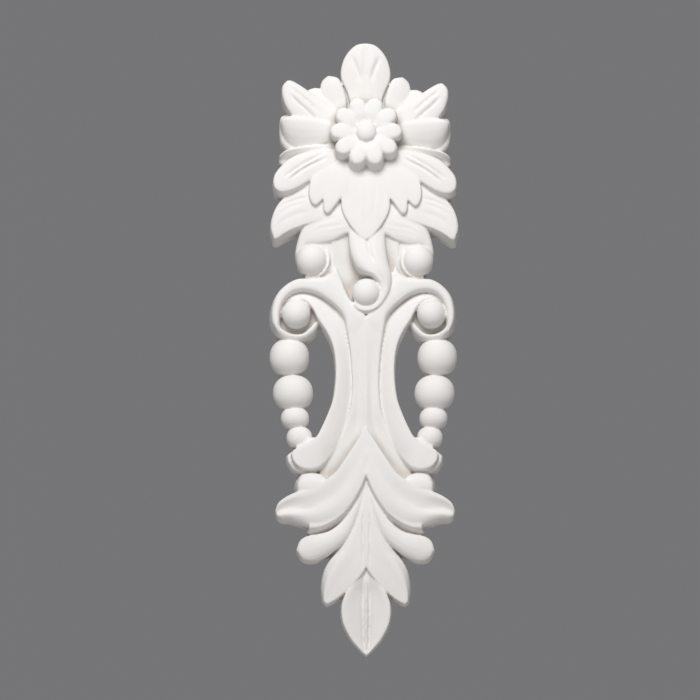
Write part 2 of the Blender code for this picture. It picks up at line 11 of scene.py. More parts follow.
import bmesh
import bpy
import numpy as np
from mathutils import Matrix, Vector


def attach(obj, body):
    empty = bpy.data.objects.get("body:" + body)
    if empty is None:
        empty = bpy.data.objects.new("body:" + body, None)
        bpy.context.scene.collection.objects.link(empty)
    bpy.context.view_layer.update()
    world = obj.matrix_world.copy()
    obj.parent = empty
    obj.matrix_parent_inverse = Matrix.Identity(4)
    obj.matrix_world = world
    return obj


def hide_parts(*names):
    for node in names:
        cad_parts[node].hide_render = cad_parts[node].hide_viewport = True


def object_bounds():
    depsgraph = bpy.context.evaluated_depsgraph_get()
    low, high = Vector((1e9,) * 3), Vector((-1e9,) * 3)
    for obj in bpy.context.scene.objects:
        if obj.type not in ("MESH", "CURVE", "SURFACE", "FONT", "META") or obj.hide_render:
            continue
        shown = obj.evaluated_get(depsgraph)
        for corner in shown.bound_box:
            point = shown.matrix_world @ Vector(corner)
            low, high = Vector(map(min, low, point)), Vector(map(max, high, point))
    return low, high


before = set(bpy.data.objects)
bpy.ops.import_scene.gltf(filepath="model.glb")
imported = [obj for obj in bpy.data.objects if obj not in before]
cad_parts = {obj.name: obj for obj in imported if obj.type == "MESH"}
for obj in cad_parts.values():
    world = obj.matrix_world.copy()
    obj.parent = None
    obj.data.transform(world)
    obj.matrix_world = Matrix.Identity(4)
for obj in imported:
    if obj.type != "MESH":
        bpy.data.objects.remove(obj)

cad_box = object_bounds()
MM = 0.001
print("solid's box:", cad_box)

# %% [markdown]
# ## Working in the ornament's own terms
# The ornament is laid out flat, like a pattern on paper: x across, z up, in millimetres. The height
# of the surface above the back is the "level". Only the left half is drawn. The right half is
# carried over with the small differences that a hand-carved master has: it is a little narrower,
# most of all at the scrolls, and its upper leaves hang a little lower.

# %% Carrying the pattern to the right half
RIGHT_NARROWING = 0.018
RIGHT_SCROLL_NARROWING = 0.050
SCROLL_REACH = 52.0
RIGHT_DROP = 1.6
RIGHT_DROP_START = 20.0
RIGHT_DROP_FULL = 125.0
RIGHT_DROP_WIDTH = 40.0


def carry_right(plan):
    """Plan points drawn on the left half, carried to their places on the right half."""
    x, z = plan[..., 0], plan[..., 1]
    narrowing = RIGHT_NARROWING + RIGHT_SCROLL_NARROWING * np.exp(-(z / SCROLL_REACH) ** 2)
    climb = np.clip((z - RIGHT_DROP_START) / (RIGHT_DROP_FULL - RIGHT_DROP_START), 0.0, 1.0)
    drop = RIGHT_DROP * climb * np.clip(np.abs(x) / RIGHT_DROP_WIDTH, 0.0, 1.0)
    return np.stack([-x * (1.0 - narrowing), z - drop], axis=-1)


print("the left volute's edge at 46 mm is carried to", carry_right(np.array([-46.0, 17.0])).round(1))

# %% [markdown]
# ## Smooth lines through a few points
# A leaf's edge is a free curve. It could be a Blender curve object, but here many edges have to be
# sampled row by row, so a small function runs a smooth line (a Catmull-Rom spline) through the
# drawn points and returns as many points as a row needs.

# %% Smooth line
def smooth_line(points, count):
    """Evenly stepped points along a smooth line through the drawn points."""
    drawn = np.array(points, float)
    if drawn.ndim == 1:
        drawn = drawn[:, None]
    ends = np.vstack([2 * drawn[0] - drawn[1], drawn, 2 * drawn[-1] - drawn[-2]])
    place = np.linspace(0.0, len(drawn) - 1, count)
    first = np.minimum(place.astype(int), len(drawn) - 2)
    part = (place - first)[:, None]
    a, b, c, d = (ends[first + step] for step in range(4))
    return 0.5 * (2 * b + (c - a) * part + (2 * a - 5 * b + 4 * c - d) * part ** 2
                  + (3 * b - a - 3 * c + d) * part ** 3)


def distance_to_line(plan, line):
    """Distance from each plan point to a line, and how far along the line its nearest point is."""
    nearest = np.full(plan.shape[:-1], np.inf)
    along = np.zeros(plan.shape[:-1])
    for index in range(len(line) - 1):
        start, run = line[index], line[index + 1] - line[index]
        length = max(float(run @ run), 1e-9)
        share = np.clip(((plan - start) @ run) / length, 0.0, 1.0)
        gap = np.linalg.norm(plan - (start + share[..., None] * run), axis=-1)
        closer = gap < nearest
        along = np.where(closer, (index + share) / (len(line) - 1), along)
        nearest = np.minimum(nearest, gap)
    return nearest, along


print("half way round a sample edge:", smooth_line([(0, 0), (4, 3), (9, 4)], 3)[1].round(2))

# %% [markdown]
# ## Carving one form
# A leaf on a casting is not a thin sheet. It is a low hill with a shaped top, a rounded rim and a
# wall that leans out a little so that it leaves the mould. Each form here is therefore a fine grid
# between two edges. The grid takes its height from three things: the levels along the form, a
# section across it, and the veins cut into it. Its rim is rounded, and its border is then run down
# to the back as a leaning wall. A sculpted mesh could give the same shapes, but this way every
# height can be read and changed by name.

# %% Sections and veins
BACK_OVERRUN = 1.4
GRID_STEP = 0.42
SECTION_STEPS = 200
SECTION_SOFTNESS = 0.045
BELL_TAIL = 3
VEIN_FADE = 5.0
VEIN_END_SHARE = 0.25
forms = []


def section_rise(section, across):
    """The rise of a section at each share of the way across, with its corners softened."""
    table = np.linspace(0.0, 1.0, SECTION_STEPS + 1)
    shares, rises = zip(*section)
    rough = np.interp(table, shares, rises)
    reach = int(BELL_TAIL * SECTION_SOFTNESS * SECTION_STEPS)
    weights = np.exp(-0.5 * (np.arange(-reach, reach + 1) / (SECTION_SOFTNESS * SECTION_STEPS)) ** 2)
    padded = np.pad(rough, reach, mode="reflect", reflect_type="odd")
    soft = np.convolve(padded, weights / weights.sum(), mode="valid")
    return np.interp(across, table, soft)


def cut_veins(plan, level, veins):
    """Add each vein: a line, its depth (below zero) or rise, and its half width, faded at its ends."""
    for line, depth, width in veins:
        gap, along = distance_to_line(plan, smooth_line(line, 4 * len(line)))
        fade = np.clip(np.minimum(along, 1.0 - along) * VEIN_FADE, 0.0, 1.0)
        fade = fade * (1.0 - VEIN_END_SHARE) + VEIN_END_SHARE
        level = level + depth * fade * np.exp(-(gap / width) ** 2)
    return level


def round_rim(level, rim_gap, radius):
    """Lower the surface towards its rim along a quarter circle."""
    inside = np.clip(radius - rim_gap, 0.0, radius)
    return level - (radius - np.sqrt(np.maximum(radius ** 2 - inside ** 2, 0.0)))


print("rise of a crowned section at its middle:",
      section_rise(((0, -1), (0.5, 0.4), (1, -1)), np.array([0.5])).round(2))

# %% [markdown]
# ## Walls that lean, then drop
# Under a leaf's lower edge the wall leans out for a few millimetres, which is what catches the
# shade in the picture, and then drops straight to the back. So each form has a middle ring of
# points between its rim and its foot. Walls that face up or sideways hardly lean at all.

# %% Standing a carved face on the back
WALL_DRAFT = 0.05
UNDER_DRAFT = 0.16
LIP_DROP = 5.0
LIP_SHARE = 0.6
LOWEST_RIM = 0.5
SAME_PLACE = 0.001
WELD_GAP = 0.005


def outward_normals(rim):
    """Directions in plan that point out of a closed border."""
    runs = np.roll(rim, -1, axis=0) - rim
    area = 0.5 * np.sum(rim[:, 0] * np.roll(rim[:, 1], -1) - np.roll(rim[:, 0], -1) * rim[:, 1])
    across = np.stack([runs[:, 1], -runs[:, 0]], axis=1) * np.sign(area)
    lengths = np.linalg.norm(across, axis=1, keepdims=True)
    across = np.where(lengths > 1e-6, across / np.maximum(lengths, 1e-6), 0.0)
    both = across + np.roll(across, 1, axis=0)
    return both / np.maximum(np.linalg.norm(both, axis=1, keepdims=True), 1e-6)


def closed_form(name, points, faces):
    """Make a closed mesh object in millimetres with its faces turned outward."""
    mesh = bpy.data.meshes.new(name)
    mesh.from_pydata((points * MM).tolist(), [], [tuple(map(int, face)) for face in faces])
    work = bmesh.new()
    work.from_mesh(mesh)
    bmesh.ops.remove_doubles(work, verts=work.verts, dist=WELD_GAP * MM)
    bmesh.ops.recalc_face_normals(work, faces=work.faces)
    work.to_mesh(mesh)
    work.free()
    forms.append(bpy.data.objects.new(name, mesh))


def stand_on_back(name, plan, level, draft=WALL_DRAFT, under=UNDER_DRAFT, lip=LIP_DROP):
    """Close a grid of plan points and levels into a solid form whose walls reach the back."""
    rows, columns = level.shape
    rim = [(row, 0) for row in range(rows)]
    rim += [(rows - 1, column) for column in range(1, columns)]
    rim += [(row, columns - 1) for row in range(rows - 2, -1, -1)]
    rim += [(0, column) for column in range(columns - 2, 0, -1)]
    rim = np.array(rim)
    places = plan[rim[:, 0], rim[:, 1]]
    rim = rim[np.linalg.norm(places - np.roll(places, 1, axis=0), axis=1) > SAME_PLACE]
    rim_row, rim_column = rim.T
    border, border_level = plan[rim_row, rim_column], level[rim_row, rim_column]
    outward = outward_normals(border)
    drop = np.minimum(lip, LIP_SHARE * np.maximum(border_level, LOWEST_RIM))
    lean = (draft + under * np.maximum(-outward[:, 1], 0.0)) * drop
    middle = border + outward * lean[:, None]
    foot = middle + outward * (draft * (border_level - drop + BACK_OVERRUN))[:, None]
    flat = plan.reshape(-1, 2)
    points = np.vstack([
        np.column_stack([flat[:, 0], -level.ravel(), flat[:, 1]]),
        np.column_stack([middle[:, 0], drop - border_level, middle[:, 1]]),
        np.column_stack([foot[:, 0], np.full(len(foot), BACK_OVERRUN), foot[:, 1]]),
    ])
    corner = np.arange(rows * columns).reshape(rows, columns)
    faces = [(corner[r, c], corner[r, c + 1], corner[r + 1, c + 1], corner[r + 1, c])
             for r in range(rows - 1) for c in range(columns - 1)]
    count = len(rim)
    rings = (corner[rim_row, rim_column], rows * columns + np.arange(count),
             rows * columns + count + np.arange(count))
    for upper, lower in zip(rings, rings[1:]):
        faces += [(upper[i], upper[(i + 1) % count], lower[(i + 1) % count], lower[i])
                  for i in range(count)]
    faces.append(tuple(rings[-1]))
    closed_form(name, points, faces)


print("a wall under a leaf leans out for", LIP_DROP, "mm and then drops to the back")

# %% [markdown]
# ## Strips and balls
# Nearly every form is a strip between a low edge and a high edge, drawn in the same direction. Most
# strips come as a pair, some lie on the middle line, and one leaf has no twin. The grid's columns
# crowd a little towards both edges, because the rims need the finest steps. The balls are rings of
# points that climb to a crown.

# %% Carving a strip, on both sides or on the middle line
LENGTH_SAMPLES = 60
ROW_LIMITS = (16, 240)
COLUMN_LIMITS = (12, 90)
EVEN_SHARE, CROWDED_SHARE = 0.55, 0.45
EVEN_SWELL = (1.0, 1.0)
RIM_ROUNDING = 0.8
FLAT = ((0, 0), (1, 0))


def strip_grid(low, high, levels, section, swell):
    """Plan points, levels and distances to the rim of a strip between its low and high edges."""
    length = np.linalg.norm(np.diff(smooth_line(high, LENGTH_SAMPLES), axis=0), axis=1).sum()
    rows = int(np.clip(length / GRID_STEP, *ROW_LIMITS))
    low_edge, high_edge = smooth_line(low, rows), smooth_line(high, rows)
    width = np.linalg.norm(high_edge - low_edge, axis=1).max()
    columns = int(np.clip(width / GRID_STEP, *COLUMN_LIMITS))
    even = np.linspace(0.0, 1.0, columns)
    across = EVEN_SHARE * even + CROWDED_SHARE * (0.5 - 0.5 * np.cos(np.pi * even))
    plan = low_edge[:, None] * (1 - across[None, :, None]) + high_edge[:, None] * across[None, :, None]
    rise = section_rise(section, across)
    level = smooth_line(levels, rows) + rise[None] * smooth_line(swell, rows)
    border = np.vstack([low_edge, plan[-1], high_edge[::-1]])
    rim_gap, _ = distance_to_line(plan, border)
    return plan, level, rim_gap


def carve_pair(name, low, high, levels, section, swell=EVEN_SWELL, veins=(), rim=RIM_ROUNDING,
               **wall):
    """Carve a strip on the left half and carry it to the right half."""
    plan, level, rim_gap = strip_grid(low, high, levels, section, swell)
    level = round_rim(cut_veins(plan, level, veins), rim_gap, rim)
    stand_on_back(f"left_{name}", plan, level, **wall)
    stand_on_back(f"right_{name}", carry_right(plan), level, **wall)


def carve_middle(name, edge, levels, section, swell=EVEN_SWELL, veins=(), rim=RIM_ROUNDING, **wall):
    """Carve a strip on the middle line from its left edge; the veins are drawn on the left."""
    mirrored = [(-x, z) for x, z in edge]
    plan, level, rim_gap = strip_grid(edge, mirrored, levels, section, swell)
    folded = np.stack([-np.abs(plan[..., 0]), plan[..., 1]], axis=-1)
    level = round_rim(cut_veins(folded, level, veins), rim_gap, rim)
    right = plan[..., 0] > 0
    plan = np.where(right[..., None], carry_right(folded), plan)
    stand_on_back(name, plan, level, **wall)


def carve_single(name, low, high, levels, section, swell=EVEN_SWELL, veins=(), rim=RIM_ROUNDING,
                 **wall):
    """Carve a strip that has no twin."""
    plan, level, rim_gap = strip_grid(low, high, levels, section, swell)
    stand_on_back(name, plan, round_rim(cut_veins(plan, level, veins), rim_gap, rim), **wall)


print("a strip has at most", ROW_LIMITS[1], "rows and", COLUMN_LIMITS[1], "columns")

# %% Carving a ball
BALL_TURNS, BALL_RINGS = 56, 18


def carve_ball(name, centre, half_width, half_height, top, bulge, tail=1.0, corner=1.0):
    """A rounded ball on a short foot; tail below 1 flattens its crown, corner below 1 its sides."""
    turns, rings = BALL_TURNS, BALL_RINGS
    angle = 2 * math.pi * np.arange(turns) / turns
    climb = 0.5 * math.pi * np.arange(rings) / (rings - 1)
    around, up = np.meshgrid(angle, climb)
    aside = np.sign(np.cos(around)) * np.abs(np.cos(around)) ** corner
    along = np.sign(np.sin(around)) * np.abs(np.sin(around)) ** corner
    plan = np.stack([centre[0] + half_width * np.cos(up) * aside,
                     centre[1] + half_height * np.cos(up) * along], axis=-1)
    level = top - bulge * (1.0 - np.sin(up) ** tail)
    points = np.column_stack([plan.reshape(-1, 2)[:, 0], -level.ravel(), plan.reshape(-1, 2)[:, 1]])
    foot = points[:turns].copy()
    foot[:, 1] = BACK_OVERRUN
    faces = [(r * turns + c, r * turns + (c + 1) % turns, (r + 1) * turns + (c + 1) % turns,
              (r + 1) * turns + c) for r in range(rings - 1) for c in range(turns)]
    low_ring = rings * turns
    faces += [(c, low_ring + c, low_ring + (c + 1) % turns, (c + 1) % turns) for c in range(turns)]
    faces.append(tuple(range(low_ring, low_ring + turns)))
    closed_form(name, np.vstack([points, foot]), faces)


def carve_ball_pair(name, centre, *sizes, **shape):
    """A ball on the left half and its twin on the right half."""
    carve_ball(f"left_{name}", centre, *sizes, **shape)
    carve_ball(f"right_{name}", tuple(carry_right(np.array(centre, float))), *sizes, **shape)


print("a ball is", BALL_RINGS, "rings of", BALL_TURNS, "points")

# %% [markdown]
# ## The top leaf and the lobes behind it
# The top leaf is a blunt spoon that curls forward at its tip. Two grooves run down it towards each
# other, with a shallow trough between them. Round lobes stand beside it, each with its ridge next
# to the leaf and a slope away from it, so that a dark crevice shows between them.

# %% Top leaf and its lobes
carve_middle(
    "top_leaf",
    ((-6.9, 109), (-7.6, 116), (-8.1, 122.5), (-9.2, 127.4), (-12.3, 135.3), (-11.6, 141.8),
     (-9.0, 147.0), (-4.8, 150.8), (0, 151.7)),
    (13.4, 13.6, 13.8, 14.2, 15.0, 15.9, 16.5, 16.5, 15.2),
    ((0, -1.5), (0.16, -0.3), (0.36, 0.4), (0.5, 0.3), (0.64, 0.4), (0.84, -0.3), (1, -1.5)),
    (0.3, 0.4, 0.5, 0.8, 1.0, 1.0, 0.9, 0.6, 0.0),
    veins=(
        (((-6.9, 144.6), (-5.2, 140.5), (-3.6, 136.5), (-2.6, 132.5)), -0.8, 0.9),
        (((0, 150), (0, 145), (0, 138)), -0.45, 1.3),
        (((-1.3, 139.5), (-0.9, 136.8), (-0.5, 134.0)), -0.5, 0.45),
        (((-4.0, 146.0), (-3.2, 141.0), (-2.0, 136.5)), 0.25, 1.0),
    ),
    draft=0.0,
)
carve_pair(
    "side_lobe",
    ((-14, 112), (-18.4, 120.6), (-21, 126), (-22.4, 129.8), (-21.5, 133.5), (-18.6, 136)),
    ((-8.9, 114.6), (-9.4, 122.5), (-10.4, 127), (-11.7, 131), (-13.8, 134.6), (-18.6, 136)),
    (12.8, 13.6, 14.2, 14.4, 14.0, 13.0),
    ((0, -1.6), (0.15, -0.9), (0.45, 0.1), (0.8, 0.5), (1, -0.2)),
    (0.3, 0.7, 1.0, 1.2, 1.0, 0.0),
    draft=0.0,
)
carve_pair(
    "back_lobe",
    ((-20, 111.2), (-25, 119.6), (-28, 124.8), (-29, 128.4), (-25.6, 130.2)),
    ((-12, 114.4), (-17, 122.0), (-20.4, 126.9), (-22.6, 129.6), (-25.6, 130.2)),
    (12.6, 12.8, 12.8, 12.4, 11.4),
    ((0, -1.0), (0.25, -0.1), (0.5, 0.2), (0.75, 0.0), (1, -0.6)),
    (0.4, 0.8, 1.0, 0.8, 0.0),
)
carve_pair(
    "crevice_floor",
    ((-14, 108), (-13.5, 120), (-14.5, 130.5)),
    ((-4, 108), (-6, 120), (-9.5, 131)),
    (11.2, 10.8, 10.2),
    FLAT,
    rim=0.4,
)
print(len(forms), "forms so far")

# %% [markdown]
# ## The side leaves of the rosette
# Three leaves fan out on each side. The upper one is blunt with two cut veins and a raised rib
# between them. The middle one has no veins: its upper edge stands up like the gunwale of a boat and
# its side rolls down and away, which is why it is dark below. The lowest and largest has two long
# veins and overhangs the leaf below it. Thin edges of a back layer show between them.

# %% Side leaves
carve_pair(
    "diagonal_leaf",
    ((-13, 104), (-24, 108.2), (-33, 112.7), (-38.6, 118.5), (-41.1, 124.8), (-41.2, 130),
     (-38.6, 133.2)),
    ((-12, 116.4), (-19, 121.6), (-25.4, 125.8), (-30, 129), (-33.6, 131.4), (-36.4, 132.9),
     (-38.6, 133.2)),
    (14.6, 14.8, 15.4, 15.8, 15.8, 15.4, 14.6),
    ((0, -1.2), (0.14, -0.2), (0.36, 0.2), (0.6, 0.3), (0.82, 0.1), (1, -1.0)),
    (0.2, 0.6, 1.0, 1.0, 1.0, 0.7, 0.0),
    veins=(
        (((-37.0, 125.4), (-34.0, 122.0), (-30.0, 118.4), (-26.0, 114.8), (-22.5, 112.0)), -0.85, 0.55),
        (((-36.4, 128.6), (-32.4, 125.6), (-28.2, 122.0), (-24.0, 118.0)), -0.85, 0.55),
        (((-36.8, 127.0), (-33.2, 123.8), (-29.2, 120.2), (-25.0, 116.4)), 0.4, 0.8),
    ),
)
carve_pair(
    "boat_leaf",
    ((-12, 100.9), (-20, 101.3), (-27, 100.1), (-33.4, 99.8), (-38.4, 101.9), (-41.2, 106.4),
     (-42.2, 111.0)),
    ((-12, 110.2), (-19, 112.7), (-26, 114.2), (-32, 115), (-36, 115.2), (-39.4, 114.9),
     (-41.8, 113.4)),
    (15.0, 15.2, 15.8, 16.0, 15.6, 14.8, 13.6),
    ((0, -5.6), (0.12, -4.2), (0.3, -2.2), (0.55, -0.6), (0.82, 0.3), (1, -0.5)),
    (0.2, 0.5, 0.9, 1.1, 1.2, 1.1, 0.8),
    rim=1.2,
)
carve_pair(
    "shadow_leaf",
    ((-26, 96), (-34, 96), (-38.6, 99), (-41.8, 103), (-42.8, 108)),
    ((-26, 118), (-34, 118), (-39.4, 117.4), (-42.2, 116), (-42.8, 110.5)),
    (9.4, 9.4, 9.2, 8.8, 8.2),
    FLAT,
    rim=3.0,
)
carve_pair(
    "shadow_lobe",
    ((-10, 90), (-20, 90), (-28, 90.5), (-36, 91), (-41, 92), (-42.9, 93.6)),
    ((-10, 101.4), (-20, 100.8), (-28, 100.3), (-35, 99.5), (-39.6, 98.4), (-42.6, 96.2)),
    (14.6, 14.0, 13.4, 12.6, 11.6, 10.4),
    ((0, -5.0), (0.4, -4.2), (0.8, -1.0), (0.94, 0.3), (1, 0.0)),
    (0.1, 0.4, 0.9, 1.0, 1.0, 1.0),
    rim=0.7,
)
carve_pair(
    "big_leaf",
    ((-10, 88.6), (-18, 86.1), (-25, 83.8), (-30.6, 80.1), (-36, 77.3), (-41.2, 76.4),
     (-44.6, 78.3), (-45.6, 81.9)),
    ((-12, 98.2), (-19, 98.4), (-26, 97.4), (-32, 95.9), (-37.4, 93.4), (-41.6, 89.6),
     (-44.6, 85.6), (-45.6, 81.9)),
    (15.2, 15.4, 15.8, 16.2, 16.4, 16.2, 15.8, 15.0),
    ((0, -0.7), (0.12, -0.1), (0.36, 0.2), (0.6, 0.3), (0.84, 0.2), (1, -0.7)),
    (0.2, 0.5, 1.0, 1.0, 1.0, 1.0, 0.6, 0.0),
    veins=(
        (((-39.6, 84.0), (-35.0, 87.6), (-29.4, 91.2), (-21.0, 96.0)), -0.9, 0.55),
        (((-37.0, 82.6), (-32.6, 86.4), (-27.6, 89.6), (-19.0, 93.8)), -0.9, 0.55),
        (((-38.2, 83.4), (-33.8, 87.0), (-28.4, 90.4), (-20.0, 94.9)), 0.35, 0.7),
    ),
    under=0.26,
    lip=4.0,
)
print(len(forms), "forms so far")

# %% [markdown]
# ## The apron of the rosette
# Below the flower the surface is the brightest on the ornament: a broad pointed leaf on the middle
# line and two small pointed lobes on each side, all smooth and close together. They overhang the
# layer below, so their walls show dark. A plain floor fills the space behind all the leaves.

# %% Apron leaves and floor
carve_middle(
    "rosette_floor",
    ((-19, 68), (-30, 79), (-36, 92), (-37, 104), (-33, 114), (-22, 122), (-8, 127)),
    (8.6, 9.0, 9.0, 9.0, 9.0, 9.0, 8.6),
    FLAT,
)
APRON_SECTION = ((0, -0.25), (0.3, 0.0), (0.7, 0.0), (1, -0.25))
APRON_WALL = {"rim": 0.6, "under": 0.10, "lip": 3.0}
carve_middle(
    "apron_leaf",
    ((-11, 98), (-14.4, 88), (-13.6, 80), (-12.0, 74), (-12.0, 69.4), (-10.7, 65), (-8.6, 61.2),
     (-5.4, 56.8), (-2.4, 53.7), (0, 52.5)),
    (14.6, 15.8, 16.3, 16.5, 16.6, 16.6, 16.5, 16.4, 16.2, 16.0),
    APRON_SECTION,
    veins=(
        (((-4.8, 82), (-4.6, 73), (-3.2, 63)), -0.22, 1.0),
        (((0.0, 80), (0.0, 70), (0.0, 58)), -0.18, 0.9),
        (((-9.4, 82), (-8.6, 73), (-6.6, 65)), -0.18, 1.0),
    ),
    **APRON_WALL,
)
carve_pair(
    "outer_lobe",
    ((-17, 92.6), (-23, 87.8), (-26.2, 84.0), (-27.6, 79.6), (-27.8, 75.2), (-26.9, 71.8),
     (-25.8, 70.2), (-24.6, 69.8)),
    ((-8, 91.6), (-11.6, 86), (-14.8, 81), (-17.4, 77), (-19.5, 74.8), (-21.7, 72.2),
     (-23.2, 70.6), (-24.6, 69.8)),
    (15.2, 15.8, 16.2, 16.4, 16.4, 16.3, 16.1, 15.8),
    APRON_SECTION,
    **APRON_WALL,
)
carve_pair(
    "inner_lobe",
    ((-14, 92.6), (-19, 86), (-21.6, 80.5), (-21.4, 76.5), (-20.8, 72.6), (-20.8, 69.0),
     (-20.2, 66.6), (-18.9, 65.7)),
    ((-4, 90.6), (-6.4, 84), (-8.6, 78.6), (-11.2, 74.9), (-13.6, 71.6), (-15.8, 68.6),
     (-17.4, 66.5), (-18.9, 65.7)),
    (15.8, 16.2, 16.5, 16.6, 16.6, 16.5, 16.3, 16.0),
    APRON_SECTION,
    **APRON_WALL,
)
print(len(forms), "forms so far")

# %% [markdown]
# ## The flower
# Ten petals stand well clear of the leaves, with tall walls that show below them. Each petal is a
# soft round lobe that rolls over at its end, and a dished disc joins their roots. One petal is
# drawn, and ten copies of it are turned into place round the centre. The walls of the lower petals
# lean out the most, so that they show from below. A bead sits in the middle of the dish.

# %% Petals, disc and bead
FLOWER_X, FLOWER_Z = 0.1, 105.4
FLOWER_SQUASH = 0.99
PETALS = 10
PETAL_REACH = 17.8
PETAL_HALF_WIDTH = 4.1
PETAL_TOP = 23.2
PETAL_CROWN = 0.5
PETAL_FLARE = 1.12
PETAL_ROWS, PETAL_COLUMNS, PETAL_END_STEPS = 64, 25, 12
PETAL_WALL_LEAN = 0.42
PETAL_WALL_DRAFT = 0.02
PETAL_WALL_DROP = 7.0
DISC_REACH = 12.6
DISC_RINGS, DISC_TURNS = 22, 72


def petal_grid():
    """One petal pointing up from the flower's centre, with a half-round end and a dished root."""
    shoulder = PETAL_REACH - PETAL_HALF_WIDTH
    slope = PETAL_FLARE * math.tan(math.pi / PETALS)
    edge = [(radius * slope, radius) for radius in (2.0, 4.5, 7.0, 9.2, 11.2)]
    for turn in np.linspace(0.0, math.pi / 2, PETAL_END_STEPS):
        edge.append((PETAL_HALF_WIDTH * math.cos(turn), shoulder + PETAL_HALF_WIDTH * math.sin(turn)))
    half, radius = smooth_line(edge, PETAL_ROWS).T
    across = np.linspace(-1.0, 1.0, PETAL_COLUMNS)
    along = np.repeat(radius[:, None], PETAL_COLUMNS, axis=1)
    plan = np.stack([half[:, None] * across[None], along], axis=-1)
    crown = PETAL_CROWN * (1.0 - np.abs(across[None]) ** 2.2)
    lift = np.interp(radius, (2.0, 4.5, 6.5, 9.0, 14.0, 17.8), (-2.4, -1.9, -0.9, -0.1, 0.1, -0.5))
    border = np.vstack([plan[:, 0], plan[-1], plan[::-1, -1]])
    rim_gap, _ = distance_to_line(plan, border)
    rounding = np.interp(radius, (7.0, 12.5), (0.3, 1.6))[:, None]
    level = round_rim(PETAL_TOP - PETAL_CROWN + crown + lift[:, None], rim_gap, rounding)
    return plan, level


def carve_flower():
    """Turn the petal around the flower's centre."""
    plan, level = petal_grid()
    for index in range(PETALS):
        angle = 2 * math.pi * (index + 0.5) / PETALS
        turn = np.array([[math.cos(angle), -math.sin(angle)], [math.sin(angle), math.cos(angle)]])
        placed = (plan @ turn.T) * (1.0, FLOWER_SQUASH) + (FLOWER_X, FLOWER_Z)
        lean = PETAL_WALL_LEAN * max(-math.cos(angle), 0.0)
        stand_on_back(f"petal_{index + 1}", placed, level, PETAL_WALL_DRAFT, lean, PETAL_WALL_DROP)


def carve_disc():
    """The dished disc that joins the petals' roots, as rings of points round the centre."""
    reaches = np.linspace(0.0, DISC_REACH, DISC_RINGS)[::-1]
    levels = np.interp(reaches, (0.0, 5.0, 6.2, 7.6, 9.4, 11.2, 12.6),
                       (20.8, 21.1, 21.8, 22.5, 22.95, 22.85, 21.8))
    angle = 2 * math.pi * np.arange(DISC_TURNS) / DISC_TURNS
    rings = [np.column_stack([FLOWER_X + reach * np.cos(angle), np.full(DISC_TURNS, -level),
                              FLOWER_Z + FLOWER_SQUASH * reach * np.sin(angle)])
             for reach, level in zip(reaches, levels)]
    foot = rings[0].copy()
    foot[:, 1] = BACK_OVERRUN
    rings.insert(0, foot)
    faces = [(r * DISC_TURNS + c, r * DISC_TURNS + (c + 1) % DISC_TURNS,
              (r + 1) * DISC_TURNS + (c + 1) % DISC_TURNS, (r + 1) * DISC_TURNS + c)
             for r in range(len(rings) - 1) for c in range(DISC_TURNS)]
    faces.append(tuple(range(DISC_TURNS)))
    closed_form("flower_disc", np.vstack(rings), faces)


carve_flower()
carve_disc()
carve_ball("flower_bead", (FLOWER_X, FLOWER_Z), 4.9, 5.2, 24.8, 3.2, tail=0.9)
print(len(forms), "forms so far")

# %% [markdown]
# ## The corner leaves and the drape over the curls
# Below the apron a lower layer comes out: a broad corner leaf on each side with soft veins, and a
# drape of soft folds that turns over into the curls.

# %% Corner leaves and drape
carve_pair(
    "corner_leaf",
    ((-16, 66), (-24, 62.4), (-30.6, 60.4), (-36.6, 58.2), (-40.6, 56.0), (-43.4, 54.2),
     (-45.2, 54.0)),
    ((-18, 88), (-28, 82.4), (-36, 77.8), (-41.2, 73.8), (-45.0, 68.0), (-46.8, 60.5),
     (-45.2, 54.0)),
    (14.0, 13.6, 13.0, 12.4, 11.8, 11.0, 10.2),
    ((0, -0.3), (0.15, 0.1), (0.5, 0.4), (0.8, 0.0), (1, -1.2)),
    (0.3, 0.7, 0.9, 0.9, 0.8, 0.6, 0.0),
    veins=(
        (((-45.0, 66.8), (-41.0, 70.4), (-34.6, 73.0), (-28.0, 74.6)), -0.5, 0.8),
        (((-45.8, 62.0), (-42.4, 66.0), (-37.0, 69.6), (-30.0, 71.6)), -0.4, 0.9),
        (((-45.4, 57.6), (-41.0, 62.4), (-35.0, 65.6), (-28.0, 67.4)), -0.3, 1.1),
    ),
    rim=0.7,
    under=0.26,
    lip=8.0,
)
carve_pair(
    "drape",
    ((-6, 57.6), (-10.4, 55.6), (-15, 53.0), (-20.4, 51.6), (-25.4, 51.2), (-28.8, 50.8),
     (-31.4, 48.8), (-32.8, 46.2), (-34.4, 43.0)),
    ((-6, 72), (-12, 73), (-18, 71.4), (-24, 67.8), (-29.2, 62.6), (-32.2, 57.4), (-33.8, 52.4),
     (-34.6, 48), (-34.4, 43.0)),
    (14.0, 14.2, 14.0, 13.4, 12.6, 11.4, 10.2, 9.2, 8.4),
    ((0, -1.4), (0.1, -0.5), (0.24, 0.1), (0.5, 0.2), (0.8, -0.4), (1, -1.8)),
    (0.6, 1.0, 1.0, 1.0, 1.0, 0.8, 0.5, 0.3, 0.2),
    veins=(
        (((-9, 60.8), (-15, 60.0), (-22, 58.8), (-28, 56.2), (-31.6, 52.6)), -0.22, 0.8),
        (((-11, 64.6), (-17, 63.4), (-23, 61.4), (-28, 58.4), (-31.8, 54.6)), -0.2, 0.8),
        (((-9, 58.8), (-15, 57.2), (-22, 56.0), (-28, 54.2)), -0.14, 0.6),
    ),
    rim=1.2,
    under=0.04,
)
print(len(forms), "forms so far")

# %% [markdown]
# ## The curls, the twisted leaf and the bud
# A narrow band comes down from the drape and wraps round a ball on each side. Between the curls a
# single leaf hangs from the apron, twists to its right and closes round a bud. The hollow to its
# left is deep, so it reads as a dark scoop.

